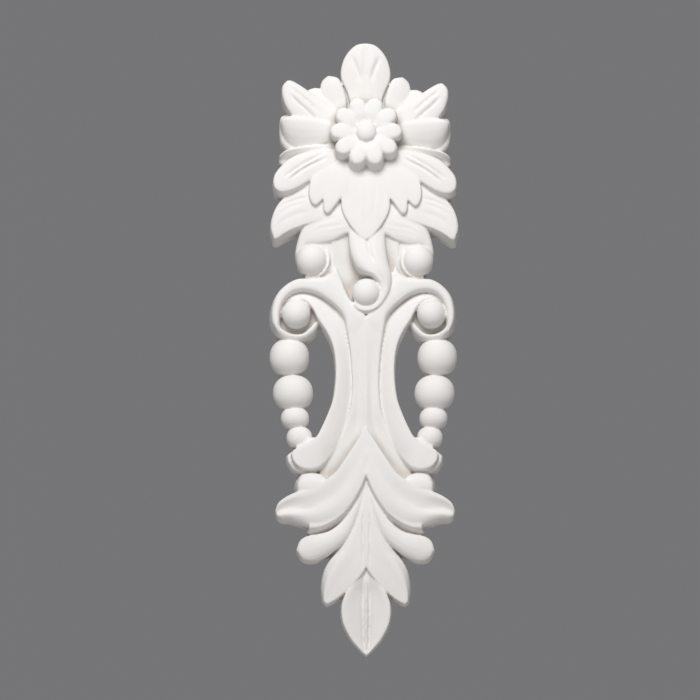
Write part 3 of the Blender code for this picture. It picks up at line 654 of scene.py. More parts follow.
# %% Curls, twisted leaf and bud
CURL = (-26.6, 43.6)
CURL_TURNS = (20, 0, -22, -45, -68, -92, -112)


def around(centre, radius, turns):
    """Plan points round a ball at a radius, at angles in degrees from its right side."""
    return tuple((centre[0] + radius * math.cos(math.radians(turn)),
                  centre[1] + radius * math.sin(math.radians(turn))) for turn in turns)


carve_pair(
    "curl_floor",
    ((-25, 33.0), (-27.6, 38), (-29.4, 44), (-30.4, 50), (-29, 57)),
    ((-15.8, 33), (-15.5, 39), (-14.9, 45), (-13.8, 51), (-12.6, 58)),
    (8.4, 9.2, 10.0, 10.8, 11.2),
    ((0, -0.6), (0.4, 0.3), (0.7, 0.1), (0.86, -0.5), (0.97, 0.2), (1, 0.2)),
    rim=0.9,
)
carve_pair(
    "curl_lip",
    ((-22.0, 55.0), (-20.8, 50.6)) + around(CURL, 7.6, CURL_TURNS),
    ((-19.0, 55.0), (-18.4, 50.6)) + around(CURL, 9.5, CURL_TURNS),
    (9.8, 10.6, 11.6, 12.0, 11.8, 11.4, 10.8, 10.2, 9.6),
    ((0, -0.9), (0.5, 0.2), (1, -1.6)),
    rim=0.6,
)
carve_ball_pair("curl_ball", CURL, 7.6, 7.6, 16.4, 7.0)
carve_middle(
    "neck_floor",
    ((-17, 72), (-16.8, 60), (-16.6, 48), (-16.4, 40), (-13.6, 31.5), (-8.6, 23), (-2.8, 16.6),
     (0, 14.6)),
    (11.0, 10.5, 8.6, 7.0, 5.8, 5.2, 5.4, 6.0),
    ((0, 2.4), (0.25, 0.4), (0.5, 0), (0.75, 0.4), (1, 2.4)),
)
carve_single(
    "twisted_leaf",
    ((-8.6, 60), (-8.0, 50), (-6.2, 42.6), (-3, 37.6), (2.4, 34.8), (5.8, 31.6), (6.6, 27.2),
     (5.0, 22.8), (1.4, 20.6), (-2.6, 20.8), (-5.6, 22.8)),
    ((9.0, 60), (9.6, 50), (10.6, 42.4), (12.0, 37), (12.5, 32.6), (11.8, 28.0), (9.8, 23.6),
     (6.4, 19.4), (1.6, 17.0), (-3.2, 17.6), (-6.6, 20.6)),
    (14.6, 16.0, 17.0, 17.2, 16.6, 15.8, 15.2, 14.9, 14.7, 14.5, 13.6),
    ((0, -2.0), (0.14, -0.2), (0.32, 0.4), (0.5, 0.0), (0.72, 0.4), (0.9, -0.8), (1, -2.4)),
    (0.6, 1.0, 1.2, 1.1, 0.9, 0.6, 0.5, 0.5, 0.5, 0.5, 0.4),
    veins=((((0.6, 55), (1.0, 50), (2.2, 45.4), (4.2, 41.4)), -0.9, 0.8),
           (((-4.6, 55), (-4.0, 49), (-2.2, 43.6)), -0.25, 0.8),
           (((5.2, 54), (6.0, 48), (7.4, 42)), -0.2, 0.8)),
    rim=0.8,
)
carve_ball("bud_ball", (0.2, 26.8), 7.0, 7.1, 18.8, 6.6)
print(len(forms), "forms so far")

# %% [markdown]
# ## Shoulders and volutes
# A flat plate rises from the stem, comes to a point beside each curl and runs out over the shoulder.
# At its end a separate lip carries on round the eye of the volute and slopes down under it. The eye
# is a ball in a deep pocket, so a ring of shade shows round it.

# %% Shoulder plate, pocket and eye
carve_pair(
    "shoulder",
    ((-7.6, -2), (-9.2, 8.6), (-10.6, 15), (-14, 19.8), (-18.2, 23.4), (-22.4, 26.2), (-27, 27.8),
     (-32, 28.2), (-36.4, 26.8), (-40.0, 23.2), (-42.0, 18), (-42.2, 12.8), (-42.4, 8.2)),
    ((0.2, 4), (0.2, 14.6), (-7.6, 23.6), (-11.6, 31.4), (-16.4, 36.2), (-21, 34.7), (-27, 34),
     (-33.4, 33.8), (-39.2, 30.8), (-43.8, 25.6), (-45.9, 18.6), (-45.6, 12.2), (-43.2, 7.6)),
    (11.4, 13.2, 13.5, 13.6, 13.8, 13.8, 13.8, 13.6, 13.4, 13.2, 13.0, 12.6, 11.6),
    ((0, -0.5), (0.3, 0.2), (0.7, 0.2), (1, -0.8)),
    (0.0, 0.2, 1.0, 1.0, 1.0, 1.0, 1.0, 1.0, 1.0, 1.0, 1.0, 1.0, 1.0),
    rim=1.1,
    draft=0.12,
)
carve_pair(
    "shoulder_peak",
    ((-20, 33.5), (-18, 35.4), (-16.4, 37.4), (-14.8, 40)),
    ((-10.5, 29), (-12, 33), (-13.6, 37), (-14.8, 40)),
    (13.5, 13.3, 13.0, 12.0),
    FLAT,
    rim=0.6,
)
EYE = (-34.0, 17.0)
carve_pair(
    "volute_pocket",
    ((-22.6, 12.4), (-24.6, 8.6), (-28, 5.8), (-33, 4.4), (-38, 4.6), (-42, 6.6)),
    ((-23, 22), (-27, 26), (-31, 27.6), (-36, 26.6), (-40.6, 21.6), (-43, 13)),
    (6.4, 5.8, 5.4, 5.2, 5.2, 6.0),
    FLAT,
    rim=0.6,
)
carve_pair(
    "volute_lip",
    around(EYE, 8.9, (176, 198)) + around(EYE, 10.2, (222, 246, 268, 290))
    + around(EYE, 9.6, (310, 326, 338)),
    ((-45.8, 18), (-45.4, 12), (-43.2, 7.6), (-39.6, 4.7), (-34.4, 3.7), (-29.4, 4.8),
     (-26.0, 7.2), (-23.8, 10.4), (-23.0, 13.4)),
    (12.4, 12.2, 11.6, 10.8, 10.2, 9.8, 9.4, 8.8, 8.0),
    ((0, 0.0), (0.3, 0.2), (0.7, -0.6), (1, -1.8)),
    (0.6, 0.8, 1.0, 1.0, 1.0, 1.0, 1.0, 0.8, 0.5),
    rim=0.9,
    draft=0.1,
)
carve_ball_pair("volute_eye", EYE, 7.1, 7.1, 16.0, 7.0)
print(len(forms), "forms so far")

# %% [markdown]
# ## The C-scrolls, the stem and the beads
# Each C-scroll starts under the eye, sweeps down past the stem and turns out into a broad rounded
# tip with a lower wall round it. Its band is low beside the stem and rises to a rounded lip round the
# opening. The stem runs down over the joint and widens below it. Four beads on each side close the
# opening. They are cast as one strand with a thin web behind them.

# %% Scrolls, stem and beads
carve_middle(
    "stem",
    ((-8.6, 14), (-8.8, 7), (-7.8, 0), (-6.9, -10), (-6.6, -20), (-7.6, -30), (-10.0, -37.6),
     (-13.0, -44), (-16.4, -50), (-18.9, -54.8), (-19.5, -60), (-19.2, -66)),
    (13.0, 12.9, 12.6, 12.3, 12.0, 11.4, 10.3, 9.3, 8.2, 7.3, 6.6, 6.2),
    ((0, -0.5), (0.1, -0.5), (0.28, -1.2), (0.42, -0.2), (0.5, 0.7), (0.58, -0.2), (0.72, -1.2),
     (0.9, -0.5), (1, -0.5)),
    (0.2, 0.2, 0.3, 0.5, 0.8, 1.1, 1.2, 1.0, 0.6, 0.3, 0.2, 0.2),
    rim=0.9,
)
carve_pair(
    "scroll_band",
    ((-42.2, 15.5), (-41.9, 20), (-39.8, 24.4), (-36.2, 27), (-32, 28.4), (-26.5, 28),
     (-20.8, 25.4), (-14.2, 20.4), (-9.2, 14.8), (-7.0, 6.4), (-5.8, -4), (-5.2, -14),
     (-5.3, -24), (-6.8, -33.4), (-10.0, -41.8), (-14.0, -48.8), (-18.8, -55.0), (-22.6, -58.4),
     (-27.5, -59.6), (-32.0, -58.6), (-35.0, -55.8), (-36.2, -52.4)),
    ((-41.2, 15.5), (-40.4, 18.6), (-38.8, 21.2), (-36.2, 23), (-33, 23.8), (-29.4, 22.8),
     (-26, 19.2), (-23.4, 14), (-19.8, 8.6), (-16.8, 2.6), (-15.1, -5), (-14.8, -14.6),
     (-16, -25), (-18.8, -33), (-21.4, -38.8), (-23.6, -43), (-26.2, -45.6), (-29.4, -47.4),
     (-32.0, -48.6), (-33.8, -49.4), (-35.3, -50.5), (-36.2, -52.4)),
    (6.6, 7.8, 9.6, 11.0, 11.6, 12.0, 12.4, 12.6, 12.6, 12.6, 12.6, 12.6, 12.4, 12.2, 12.2,
     12.4, 12.6, 12.8, 12.8, 12.6, 12.4, 12.0),
    ((0, -5.6), (0.2, -3.4), (0.45, -1.5), (0.7, -0.4), (0.9, 0.1), (1, -0.1)),
    (0.0, 0.4, 0.8, 1.0, 1.0, 1.0, 1.0, 0.9, 0.8, 0.3, 0.05, 0.0),
    rim=0.8,
    under=0.1,
)
carve_pair(
    "scroll_tip_wall",
    ((-17, -53.4), (-21, -58.0), (-26, -60.8), (-31, -61.0), (-35.4, -59.0), (-38.0, -55.4)),
    ((-18, -42), (-23, -45.2), (-28, -47.8), (-32.4, -49.3), (-35.8, -50.4), (-38.2, -52.4)),
    (8.8, 8.8, 8.8, 8.6, 8.2, 7.8),
    ((0, -0.6), (0.3, 0), (1, 0)),
    draft=0.12,
    under=0.1,
    lip=9.0,
)
carve_pair(
    "scroll_bridge",
    ((-34, -50), (-31, -49), (-27, -47), (-23, -45)),
    ((-33, -43), (-30, -43), (-27, -43.6), (-24, -43.4)),
    (8.4, 9.0, 9.2, 9.2),
    ((0, 0), (1, -0.6)),
    rim=0.8,
)
carve_pair(
    "leg_crevice",
    ((-17, -50), (-18, -56), (-18, -62), (-18, -67)),
    ((-23, -50), (-23, -56), (-22, -62), (-20, -67)),
    (6.6, 6.6, 6.8, 7.0),
    FLAT,
    rim=0.4,
)
carve_pair(
    "bead_web",
    ((-41, 8), (-40, -1), (-39, -12), (-38, -23), (-37, -34), (-35, -45), (-32, -50)),
    ((-33, 6), (-32, -1), (-31, -12), (-30.6, -23), (-30, -34), (-28, -42), (-26, -48)),
    (5.2, 3.4, 3.0, 3.0, 3.0, 3.4, 6.0),
    FLAT,
    rim=0.5,
)
BEAD_CORNER = 0.92
# Each bead's centre, half width, half height, top level and bulge.
BEADS = (
    ((-37.4, -3.6), 9.7, 9.4, 12.8, 9.2),
    ((-35.6, -21.1), 9.8, 8.8, 12.2, 8.6),
    ((-34.6, -33.6), 6.9, 5.5, 10.2, 6.4),
    ((-32.4, -43.2), 6.3, 5.5, 9.8, 6.0),
)
for number, bead in enumerate(BEADS):
    carve_ball_pair(f"bead_{number + 1}", *bead, corner=BEAD_CORNER)
print(len(forms), "forms so far")

# %% [markdown]
# ## The wings of the acanthus
# Two wings spread from a high apex and end in blunt tips. Each has a rolled lobe above it, a long
# hollow along its blade and a wall under its lower edge that leans out to catch the shade.

# %% Wings
carve_pair(
    "wing",
    ((0, -62.6), (-2.6, -69.2), (-6.8, -76.4), (-11.8, -81.4), (-17.4, -85.0), (-22.6, -86.6),
     (-27.2, -86.8), (-32, -85.7), (-37.2, -84.2), (-40.6, -83.9), (-42.9, -82.6)),
    ((0, -39.2), (-4.4, -46.0), (-9.4, -53.6), (-14.8, -61.2), (-20.4, -65.5), (-26.0, -68.4),
     (-30.6, -69.8), (-34.8, -71.0), (-39.2, -73.2), (-42.4, -75.8), (-43.8, -79.2)),
    (15.2, 15.2, 15.2, 14.8, 14.3, 13.8, 13.2, 12.6, 11.9, 11.1, 10.2),
    ((0, -2.4), (0.12, -0.8), (0.28, 0.2), (0.42, -0.3), (0.54, -1.3), (0.7, -0.7), (0.86, 0.4),
     (1, 0.1)),
    (0.1, 0.2, 0.35, 0.5, 0.6, 0.7, 0.9, 1.2, 1.2, 0.9, 0.5),
    veins=((((-41.0, -80.2), (-37, -79.6), (-31, -79.0), (-24, -78.0)), -0.4, 1.0),
           (((-0.4, -54), (-0.5, -58), (-0.5, -61)), -0.4, 0.8)),
    rim=0.8,
    under=0.1,
)
carve_pair(
    "wing_wall",
    ((0, -63.4), (-2.9, -70.0), (-7.4, -77.4), (-12.5, -82.6), (-17.9, -86.1), (-22.8, -87.9),
     (-27.4, -88.2)),
    ((0, -54), (-4, -64), (-9.4, -72.6), (-14.4, -77.8), (-19.2, -81.2), (-24, -83.2), (-27.6, -83.6)),
    (14.4, 14.4, 14.2, 13.8, 13.2, 12.7, 12.2),
    FLAT,
    rim=0.8,
    under=0.44,
    lip=5.0,
)
carve_pair(
    "wing_lobe",
    ((-12.5, -68.4), (-18.6, -71.4), (-24, -73.6), (-28.8, -74.4), (-32.0, -72.6), (-33.2, -69.8)),
    ((-15.8, -66.4), (-19.0, -64.2), (-22.0, -62.0), (-27.0, -61.2), (-31.2, -62.2), (-33.2, -65.2)),
    (13.8, 13.9, 13.8, 13.4, 12.7, 12.0),
    ((0, -2.0), (0.2, -0.6), (0.45, 0.4), (0.7, 0.1), (1, -2.8)),
    (0.5, 0.9, 1.0, 1.0, 0.8, 0.6),
    rim=1.0,
    draft=0.16,
)
print(len(forms), "forms so far")

# %% [markdown]
# ## The second tier and the foot
# A second tier hangs from under the wings: a blunt finger on each side, a hanging leaf inside it, and
# a fine rib on the middle line. The last leaf is pointed, with dished blades and a sharp midrib.

# %% Second tier and foot
carve_middle(
    "second_tier_rib",
    ((-1.8, -60), (-1.7, -72), (-1.5, -84), (-1.3, -95), (0, -104)),
    (12.0, 12.2, 11.8, 11.2, 10.2),
    ((0, -1.2), (0.5, 0.3), (1, -1.2)),
    (0.6, 0.8, 0.6, 0.5, 0.0),
    rim=0.6,
)
carve_pair(
    "finger_leaf",
    ((-0.6, -69.6), (-4.2, -82.2), (-8.6, -92), (-14.6, -97.9), (-20.4, -101.8), (-26, -103.7),
     (-30.8, -102.7), (-33.6, -98.4)),
    ((-0.4, -62.8), (-5, -73.5), (-10.6, -83.3), (-17, -88.8), (-23, -90.7), (-28.4, -91.6),
     (-32, -94), (-33.6, -98.4)),
    (11.8, 12.0, 12.0, 12.0, 11.8, 11.2, 10.6, 9.8),
    ((0, -1.8), (0.2, -0.4), (0.45, 0.3), (0.7, 0.2), (1, -0.8)),
    (0.3, 0.6, 0.8, 1.0, 1.2, 1.0, 0.8, 0.0),
    rim=0.9,
    under=0.06,
)
carve_pair(
    "hanging_leaf",
    ((-0.8, -67.6), (-4.4, -81.2), (-8.6, -91), (-13, -97.5), (-17.4, -102.7), (-20.3, -108.4),
     (-21.5, -116), (-20.7, -122.8)),
    ((0.2, -67.6), (0.2, -83.2), (0.2, -96), (0.2, -105.6), (-3.4, -111.8), (-8.6, -117.0),
     (-14.2, -121.8), (-18.9, -124.4)),
    (12.0, 12.0, 11.6, 11.0, 10.3, 9.4, 8.4, 7.6),
    ((0, -3.4), (0.08, -2.2), (0.18, -0.2), (0.3, 0.2), (0.55, -0.2), (0.8, -0.2), (1, -0.2)),
    (0.1, 0.3, 0.6, 0.9, 1.0, 1.0, 1.0, 0.2),
    veins=((((-1.2, -72), (-4.6, -84), (-8.6, -92.5)), -0.5, 0.8),
           (((-1.7, -80), (-1.7, -92), (-1.7, -106)), -0.8, 0.5)),
    rim=0.7,
    draft=0.1,
    under=0.0,
)
carve_middle(
    "foot_leaf",
    ((-3, -106), (-5.4, -113.2), (-9.4, -118.3), (-11.8, -125), (-11.2, -133), (-7.6, -140.4),
     (-3.2, -145.6), (0, -148.6)),
    (9.2, 9.2, 9.1, 8.7, 8.0, 7.0, 6.0, 5.2),
    ((0, 0.3), (0.12, 0.1), (0.34, -2.0), (0.5, -3.1), (0.66, -2.0), (0.88, 0.1), (1, 0.3)),
    (0.4, 0.7, 1.0, 1.0, 1.0, 0.9, 0.6, 0.2),
    veins=((((-1.9, -112), (-1.9, -125), (-1.6, -137), (-0.9, -146)), -1.1, 0.65),
           (((0, -108), (0, -125), (0, -140), (0, -147.5)), 1.5, 0.6)),
    rim=0.6,
    draft=0.08,
    under=0.0,
)
print(len(forms), "forms in all")

# %% [markdown]
# ## One skin
# The forms overlap like clay rolls on a modelling board. A voxel remesh fuses them into a single
# closed skin, as the mould would, and a light smoothing melts the joins and softens the edges the
# way poured plaster does. A Boolean union would keep every hard crease, so it suits this less.

# %% Fusing the forms
VOXEL = 0.40
SMOOTH_PASSES = 3
ROUND_OFF = 0.5


def apply_all(thing):
    """Turn an object's modified mesh into its own mesh."""
    bpy.context.view_layer.update()
    changed = thing.evaluated_get(bpy.context.evaluated_depsgraph_get())
    mesh = bpy.data.meshes.new_from_object(changed)
    thing.modifiers.clear()
    thing.data = mesh


def fuse_forms():
    """Join the forms' meshes, remesh them into one skin and soften it."""
    whole = bmesh.new()
    for form in forms:
        whole.from_mesh(form.data)
    mesh = bpy.data.meshes.new("floral_casting")
    whole.to_mesh(mesh)
    whole.free()
    casting = bpy.data.objects.new("floral_casting", mesh)
    bpy.context.scene.collection.objects.link(casting)
    remesh = casting.modifiers.new("fuse", "REMESH")
    remesh.mode = "VOXEL"
    remesh.voxel_size = VOXEL * MM
    remesh.use_smooth_shade = True
    soften = casting.modifiers.new("soften", "SMOOTH")
    soften.factor = ROUND_OFF
    soften.iterations = SMOOTH_PASSES
    apply_all(casting)
    return casting


casting = fuse_forms()
print("fused skin:", len(casting.data.vertices), "points")

# %% [markdown]
# ## Measuring the hollows
# The colour is darkened where the surface lies lower than what stands round it: painted shade, put
# where shade falls. The dense skin is read into a small map of levels, the map is blurred over a few
# millimetres, and a point's hollow is how far it lies below the blurred map. It is kept on the mesh as
# an attribute, so that the material can read it and paint the shade. An occlusion shader would find
# the same places, but with noise and at every render.

# %% A map of levels and its blur
MAP_CELL = 1.0
MAP_HALF_WIDTH = 60.0
MAP_HALF_HEIGHT = 165.0
BLUR_REACH = 3.2


def mesh_points(thing):
    """A mesh's points in millimetres."""
    places = np.empty(len(thing.data.vertices) * 3)
    thing.data.vertices.foreach_get("co", places)
    return places.reshape(-1, 3) / MM


def map_place(points):
    """Where points fall on the map, in cells from its lower left corner."""
    return (points[:, 0] + MAP_HALF_WIDTH) / MAP_CELL, (points[:, 2] + MAP_HALF_HEIGHT) / MAP_CELL


def blurred_levels(casting):
    """The highest level in each cell of the map, blurred across and then along."""
    points = mesh_points(casting)
    across, along = map_place(points)
    size = (int(2 * MAP_HALF_HEIGHT / MAP_CELL), int(2 * MAP_HALF_WIDTH / MAP_CELL))
    levels = np.zeros(size)
    np.maximum.at(levels, (along.astype(int), across.astype(int)), -points[:, 1])
    reach = int(BELL_TAIL * BLUR_REACH / MAP_CELL)
    weights = np.exp(-0.5 * (np.arange(-reach, reach + 1) * MAP_CELL / BLUR_REACH) ** 2)
    weights /= weights.sum()
    for axis in (0, 1):
        levels = np.apply_along_axis(np.convolve, axis, levels, weights, mode="same")
    return levels


level_map = blurred_levels(casting)
print("highest blurred level:", level_map.max().round(1), "mm")

# %% [markdown]
# ## A lighter mesh with a flat back
# The dense skin has far more faces than its shape needs. A Decimate modifier thins it, most where it
# is nearly flat. Every form runs on a little behind the back plane, and a Boolean difference with a
# plain slab takes that off, which leaves one clean flat face. Edges sharper than 50 degrees stay
# crisp, and the rest is shaded smooth.

# %% Cutting the back flat and thinning the mesh
FACE_BUDGET = 185000
SLAB_WIDTH, SLAB_DEPTH, SLAB_HEIGHT = 0.2, 0.02, 0.4
SHARP_ANGLE = 50


def cut_back(casting):
    """Thin the mesh and cut away what lies behind the back plane."""
    slab_mesh = bpy.data.meshes.new("back_slab")
    work = bmesh.new()
    bmesh.ops.create_cube(work, size=1.0)
    for vert in work.verts:
        vert.co = Vector((vert.co.x * SLAB_WIDTH, vert.co.y * SLAB_DEPTH + SLAB_DEPTH / 2,
                          vert.co.z * SLAB_HEIGHT))
    work.to_mesh(slab_mesh)
    work.free()
    slab = bpy.data.objects.new("back_slab", slab_mesh)
    bpy.context.scene.collection.objects.link(slab)
    thin = casting.modifiers.new("thin", "DECIMATE")
    dense_triangles = 2 * len(casting.data.polygons)
    thin.ratio = min(1.0, FACE_BUDGET / dense_triangles)
    flat = casting.modifiers.new("flat_back", "BOOLEAN")
    flat.operation = "DIFFERENCE"
    flat.object = slab
    flat.solver = "MANIFOLD"
    apply_all(casting)
    bpy.data.objects.remove(slab, do_unlink=True)
    casting.data.shade_smooth()
    casting.data.set_sharp_from_angle(angle=math.radians(SHARP_ANGLE))


cut_back(casting)
triangles = sum(len(face.vertices) - 2 for face in casting.data.polygons)
print("finished skin:", triangles, "triangles")

# %% [markdown]
# ## Keeping the hollows with the mesh
# Each point of the finished mesh looks up its place on the map, between four cells, and gets a share
# from 0 to 1. The share is eased at both ends, so that the painted shade has no hard border. The back
# is left without painted shade.

# %% Storing the hollows on the mesh
HOLLOW_START = 1.2
HOLLOW_FULL = 4.0
BACK_SKIN = 0.5


def store_hollows(casting):
    """Keep, at each point, how far it lies below the blurred map, from 0 to 1."""
    points = mesh_points(casting)
    across, along = map_place(points)
    left, low = np.floor(across - 0.5).astype(int), np.floor(along - 0.5).astype(int)
    right_share, high_share = across - 0.5 - left, along - 0.5 - low
    lower = level_map[low, left] * (1 - right_share) + level_map[low, left + 1] * right_share
    upper = level_map[low + 1, left] * (1 - right_share) + level_map[low + 1, left + 1] * right_share
    depth = lower * (1 - high_share) + upper * high_share + points[:, 1]
    share = np.clip((depth - HOLLOW_START) / (HOLLOW_FULL - HOLLOW_START), 0.0, 1.0)
    share[-points[:, 1] < BACK_SKIN] = 0.0
    # The stored share tells the material where to paint shade into the colour.
    stored = casting.data.attributes.new("hollow", "FLOAT", "POINT")
    stored.data.foreach_set("value", share * share * (3.0 - 2.0 * share))
    return share


hollow_share = store_hollows(casting)
print("share of points that lie in a full hollow:", (hollow_share > 0.99).mean().round(3))

# %% [markdown]
# ## Small node helpers
# The plaster's finish is made of a few effects: a slow change of tone, fine grain, pinholes left by
# air, painted shade that darkens the hollows, and raised edges that are rubbed bright. Each effect is
# a node group with named sockets, so that it can be looked at alone and used again elsewhere.

# %% Node groups
def new_group(name, inputs, outputs):
    """A shader node group with named float or colour sockets."""
    group = bpy.data.node_groups.new(name, "ShaderNodeTree")
    for label, kind, value in inputs:
        socket = group.interface.new_socket(label, in_out="INPUT", socket_type=kind)
        socket.default_value = value
    for label, kind in outputs:
        group.interface.new_socket(label, in_out="OUTPUT", socket_type=kind)
    start = group.nodes.new("NodeGroupInput")
    end = group.nodes.new("NodeGroupOutput")
    start.location, end.location = (-900, 0), (700, 0)
    return group, start.outputs, end.inputs


def add_node(tree, kind, place, values=(), **settings):
    """Add a node at a place, set its options and its plain input values."""
    node = tree.nodes.new(kind)
    node.location = place
    for option, setting in settings.items():
        setattr(node, option, setting)
    for socket, value in values:
        node.inputs[socket].default_value = value
    return node


FLOAT, COLOUR = "NodeSocketFloat", "NodeSocketColor"
print("node helpers are ready")

# %% [markdown]
# ## Casting tone
# Plaster dries unevenly, so its white drifts slowly from place to place. A large, soft noise blends
# two tones that are close together.

# %% Casting tone: slow, cloudy changes of the plaster's white
def make_casting_tone():
    """Cloudy change between two plaster tones."""
    group, inputs, outputs = new_group(
        "Casting Tone",
        (("Light", COLOUR, (0.86, 0.85, 0.83, 1)), ("Dark", COLOUR, (0.78, 0.76, 0.73, 1)),
         ("Cloud Size", FLOAT, 28.0), ("Amount", FLOAT, 0.6)),
        (("Color", COLOUR),),
    )
    place = add_node(group, "ShaderNodeTexCoord", (-900, -300))
    cloud = add_node(group, "ShaderNodeTexNoise", (-600, -200), (("Detail", 4.0), ("Roughness", 0.55)))
    spread = add_node(group, "ShaderNodeMapRange", (-350, -200), (("From Min", 0.32), ("From Max", 0.68)))
    share = add_node(group, "ShaderNodeMath", (-120, -200), operation="MULTIPLY")
    blend = add_node(group, "ShaderNodeMix", (150, 0), data_type="RGBA")
    link = group.links.new
    link(place.outputs["Object"], cloud.inputs["Vector"])
    link(inputs["Cloud Size"], cloud.inputs["Scale"])
    link(cloud.outputs["Fac"], spread.inputs["Value"])
    link(spread.outputs["Result"], share.inputs[0])
    link(inputs["Amount"], share.inputs[1])
    link(share.outputs[0], blend.inputs["Factor"])
    link(inputs["Light"], blend.inputs["A"])
    link(inputs["Dark"], blend.inputs["B"])
    link(blend.outputs["Result"], outputs["Color"])
    return group


casting_tone = make_casting_tone()
print("effect:", casting_tone.name)

# %% [markdown]
# ## Plaster grain
# Set plaster has a fine tooth, a faint ripple from the mould, and a few pinholes where air was
# trapped. All three go into one height. A second, larger noise decides where pinholes gather, so
# that they don't lie evenly like a pattern.

# %% Plaster grain: the fine tooth of set plaster with a few pinholes
def make_plaster_grain():
    """Height of the plaster's fine tooth, its ripple and its pinholes."""
    group, inputs, outputs = new_group(
        "Plaster Grain",
        (("Grain Size", FLOAT, 1400.0), ("Ripple Size", FLOAT, 140.0), ("Ripple", FLOAT, 0.5),
         ("Pinhole Size", FLOAT, 420.0), ("Pinholes", FLOAT, 0.5)),
        (("Height", FLOAT),),
    )
    place = add_node(group, "ShaderNodeTexCoord", (-1100, -200))
    grain = add_node(group, "ShaderNodeTexNoise", (-800, 250), (("Detail", 3.0), ("Roughness", 0.6)))
    ripple = add_node(group, "ShaderNodeTexNoise", (-800, 0), (("Detail", 2.0), ("Roughness", 0.5)))
    cells = add_node(group, "ShaderNodeTexVoronoi", (-800, -300), (("Randomness", 1.0),))
    hole = add_node(group, "ShaderNodeMapRange", (-560, -300),
                    (("From Min", 0.05), ("From Max", 0.11), ("To Min", 1.0), ("To Max", 0.0)))
    where = add_node(group, "ShaderNodeTexNoise", (-800, -550), (("Scale", 190.0), ("Detail", 1.0)))
    few = add_node(group, "ShaderNodeMapRange", (-560, -550), (("From Min", 0.60), ("From Max", 0.66)))
    holes = add_node(group, "ShaderNodeMath", (-330, -400), operation="MULTIPLY")
    depth = add_node(group, "ShaderNodeMath", (-120, -400), operation="MULTIPLY")
    rolling = add_node(group, "ShaderNodeMath", (-330, 0), operation="MULTIPLY")
    surface = add_node(group, "ShaderNodeMath", (-60, 150), operation="ADD")
    height = add_node(group, "ShaderNodeMath", (220, 0), operation="SUBTRACT")
    link = group.links.new
    for texture in (grain, ripple, cells, where):
        link(place.outputs["Object"], texture.inputs["Vector"])
    link(inputs["Grain Size"], grain.inputs["Scale"])
    link(inputs["Ripple Size"], ripple.inputs["Scale"])
    link(inputs["Pinhole Size"], cells.inputs["Scale"])
    link(cells.outputs["Distance"], hole.inputs["Value"])
    link(where.outputs["Fac"], few.inputs["Value"])
    link(hole.outputs["Result"], holes.inputs[0])
    link(few.outputs["Result"], holes.inputs[1])
    link(holes.outputs[0], depth.inputs[0])
    link(inputs["Pinholes"], depth.inputs[1])
    link(ripple.outputs["Fac"], rolling.inputs[0])
    link(inputs["Ripple"], rolling.inputs[1])
    link(grain.outputs["Fac"], surface.inputs[0])
    link(rolling.outputs[0], surface.inputs[1])
    link(surface.outputs[0], height.inputs[0])
    link(depth.outputs[0], height.inputs[1])
    link(height.outputs[0], outputs["Height"])
    return group


plaster_grain = make_plaster_grain()
print("effect:", plaster_grain.name)

# %% [markdown]
# ## Hollows and edges
# Two masks come out of this effect. The hollow mask is the larger of two things: the share stored on
# the mesh, which knows the deep places, and the fine creases, which Pointiness finds; it says where
# shade is painted into the colour. The edge mask is where Pointiness is high. A noise breaks both up
# a little.

# %% Hollows and edges: painted shade in the hollows, rubbed bright edges
def make_hollows_and_edges():
    """Masks of the hollows and of the raised edges, both broken up by noise."""
    group, inputs, outputs = new_group(
        "Hollows And Edges",
        (("Hollow Start", FLOAT, 0.47), ("Hollow Full", FLOAT, 0.36), ("Edge Start", FLOAT, 0.54),
         ("Edge Full", FLOAT, 0.66), ("Break Up", FLOAT, 90.0)),
        (("Hollow", FLOAT), ("Edge", FLOAT)),
    )
    shape = add_node(group, "ShaderNodeNewGeometry", (-900, 200))
    place = add_node(group, "ShaderNodeTexCoord", (-900, -300))
    breaks = add_node(group, "ShaderNodeTexNoise", (-650, -300), (("Detail", 3.0), ("Roughness", 0.6)))
    hollow = add_node(group, "ShaderNodeMapRange", (-400, 300), interpolation_type="SMOOTHSTEP")
    edge = add_node(group, "ShaderNodeMapRange", (-400, 0), interpolation_type="SMOOTHSTEP")
    patch = add_node(group, "ShaderNodeMapRange", (-400, -300),
                     (("From Min", 0.3), ("From Max", 0.65), ("To Min", 0.8), ("To Max", 1.0)))
    measured = add_node(group, "ShaderNodeAttribute", (-650, 500), attribute_name="hollow")
    deeper = add_node(group, "ShaderNodeMath", (-220, 420), operation="MAXIMUM")
    # Hollow mask: where shade is painted into the colour.
    painted_shade_mask = add_node(group, "ShaderNodeMath", (-100, 250), operation="MULTIPLY")
    rubbed = add_node(group, "ShaderNodeMath", (-100, 0), operation="MULTIPLY")
    link = group.links.new
    link(place.outputs["Object"], breaks.inputs["Vector"])
    link(inputs["Break Up"], breaks.inputs["Scale"])
    link(breaks.outputs["Fac"], patch.inputs["Value"])
    for mask, start, full in ((hollow, "Hollow Start", "Hollow Full"), (edge, "Edge Start", "Edge Full")):
        link(shape.outputs["Pointiness"], mask.inputs["Value"])
        link(inputs[start], mask.inputs["From Min"])
        link(inputs[full], mask.inputs["From Max"])
    link(hollow.outputs["Result"], deeper.inputs[0])
    link(measured.outputs["Fac"], deeper.inputs[1])
    link(deeper.outputs[0], painted_shade_mask.inputs[0])
    link(patch.outputs["Result"], painted_shade_mask.inputs[1])
    link(edge.outputs["Result"], rubbed.inputs[0])
    link(patch.outputs["Result"], rubbed.inputs[1])
    link(painted_shade_mask.outputs[0], outputs["Hollow"])
    link(rubbed.outputs[0], outputs["Edge"])
    return group


hollows_and_edges = make_hollows_and_edges()
print("effect:", hollows_and_edges.name)
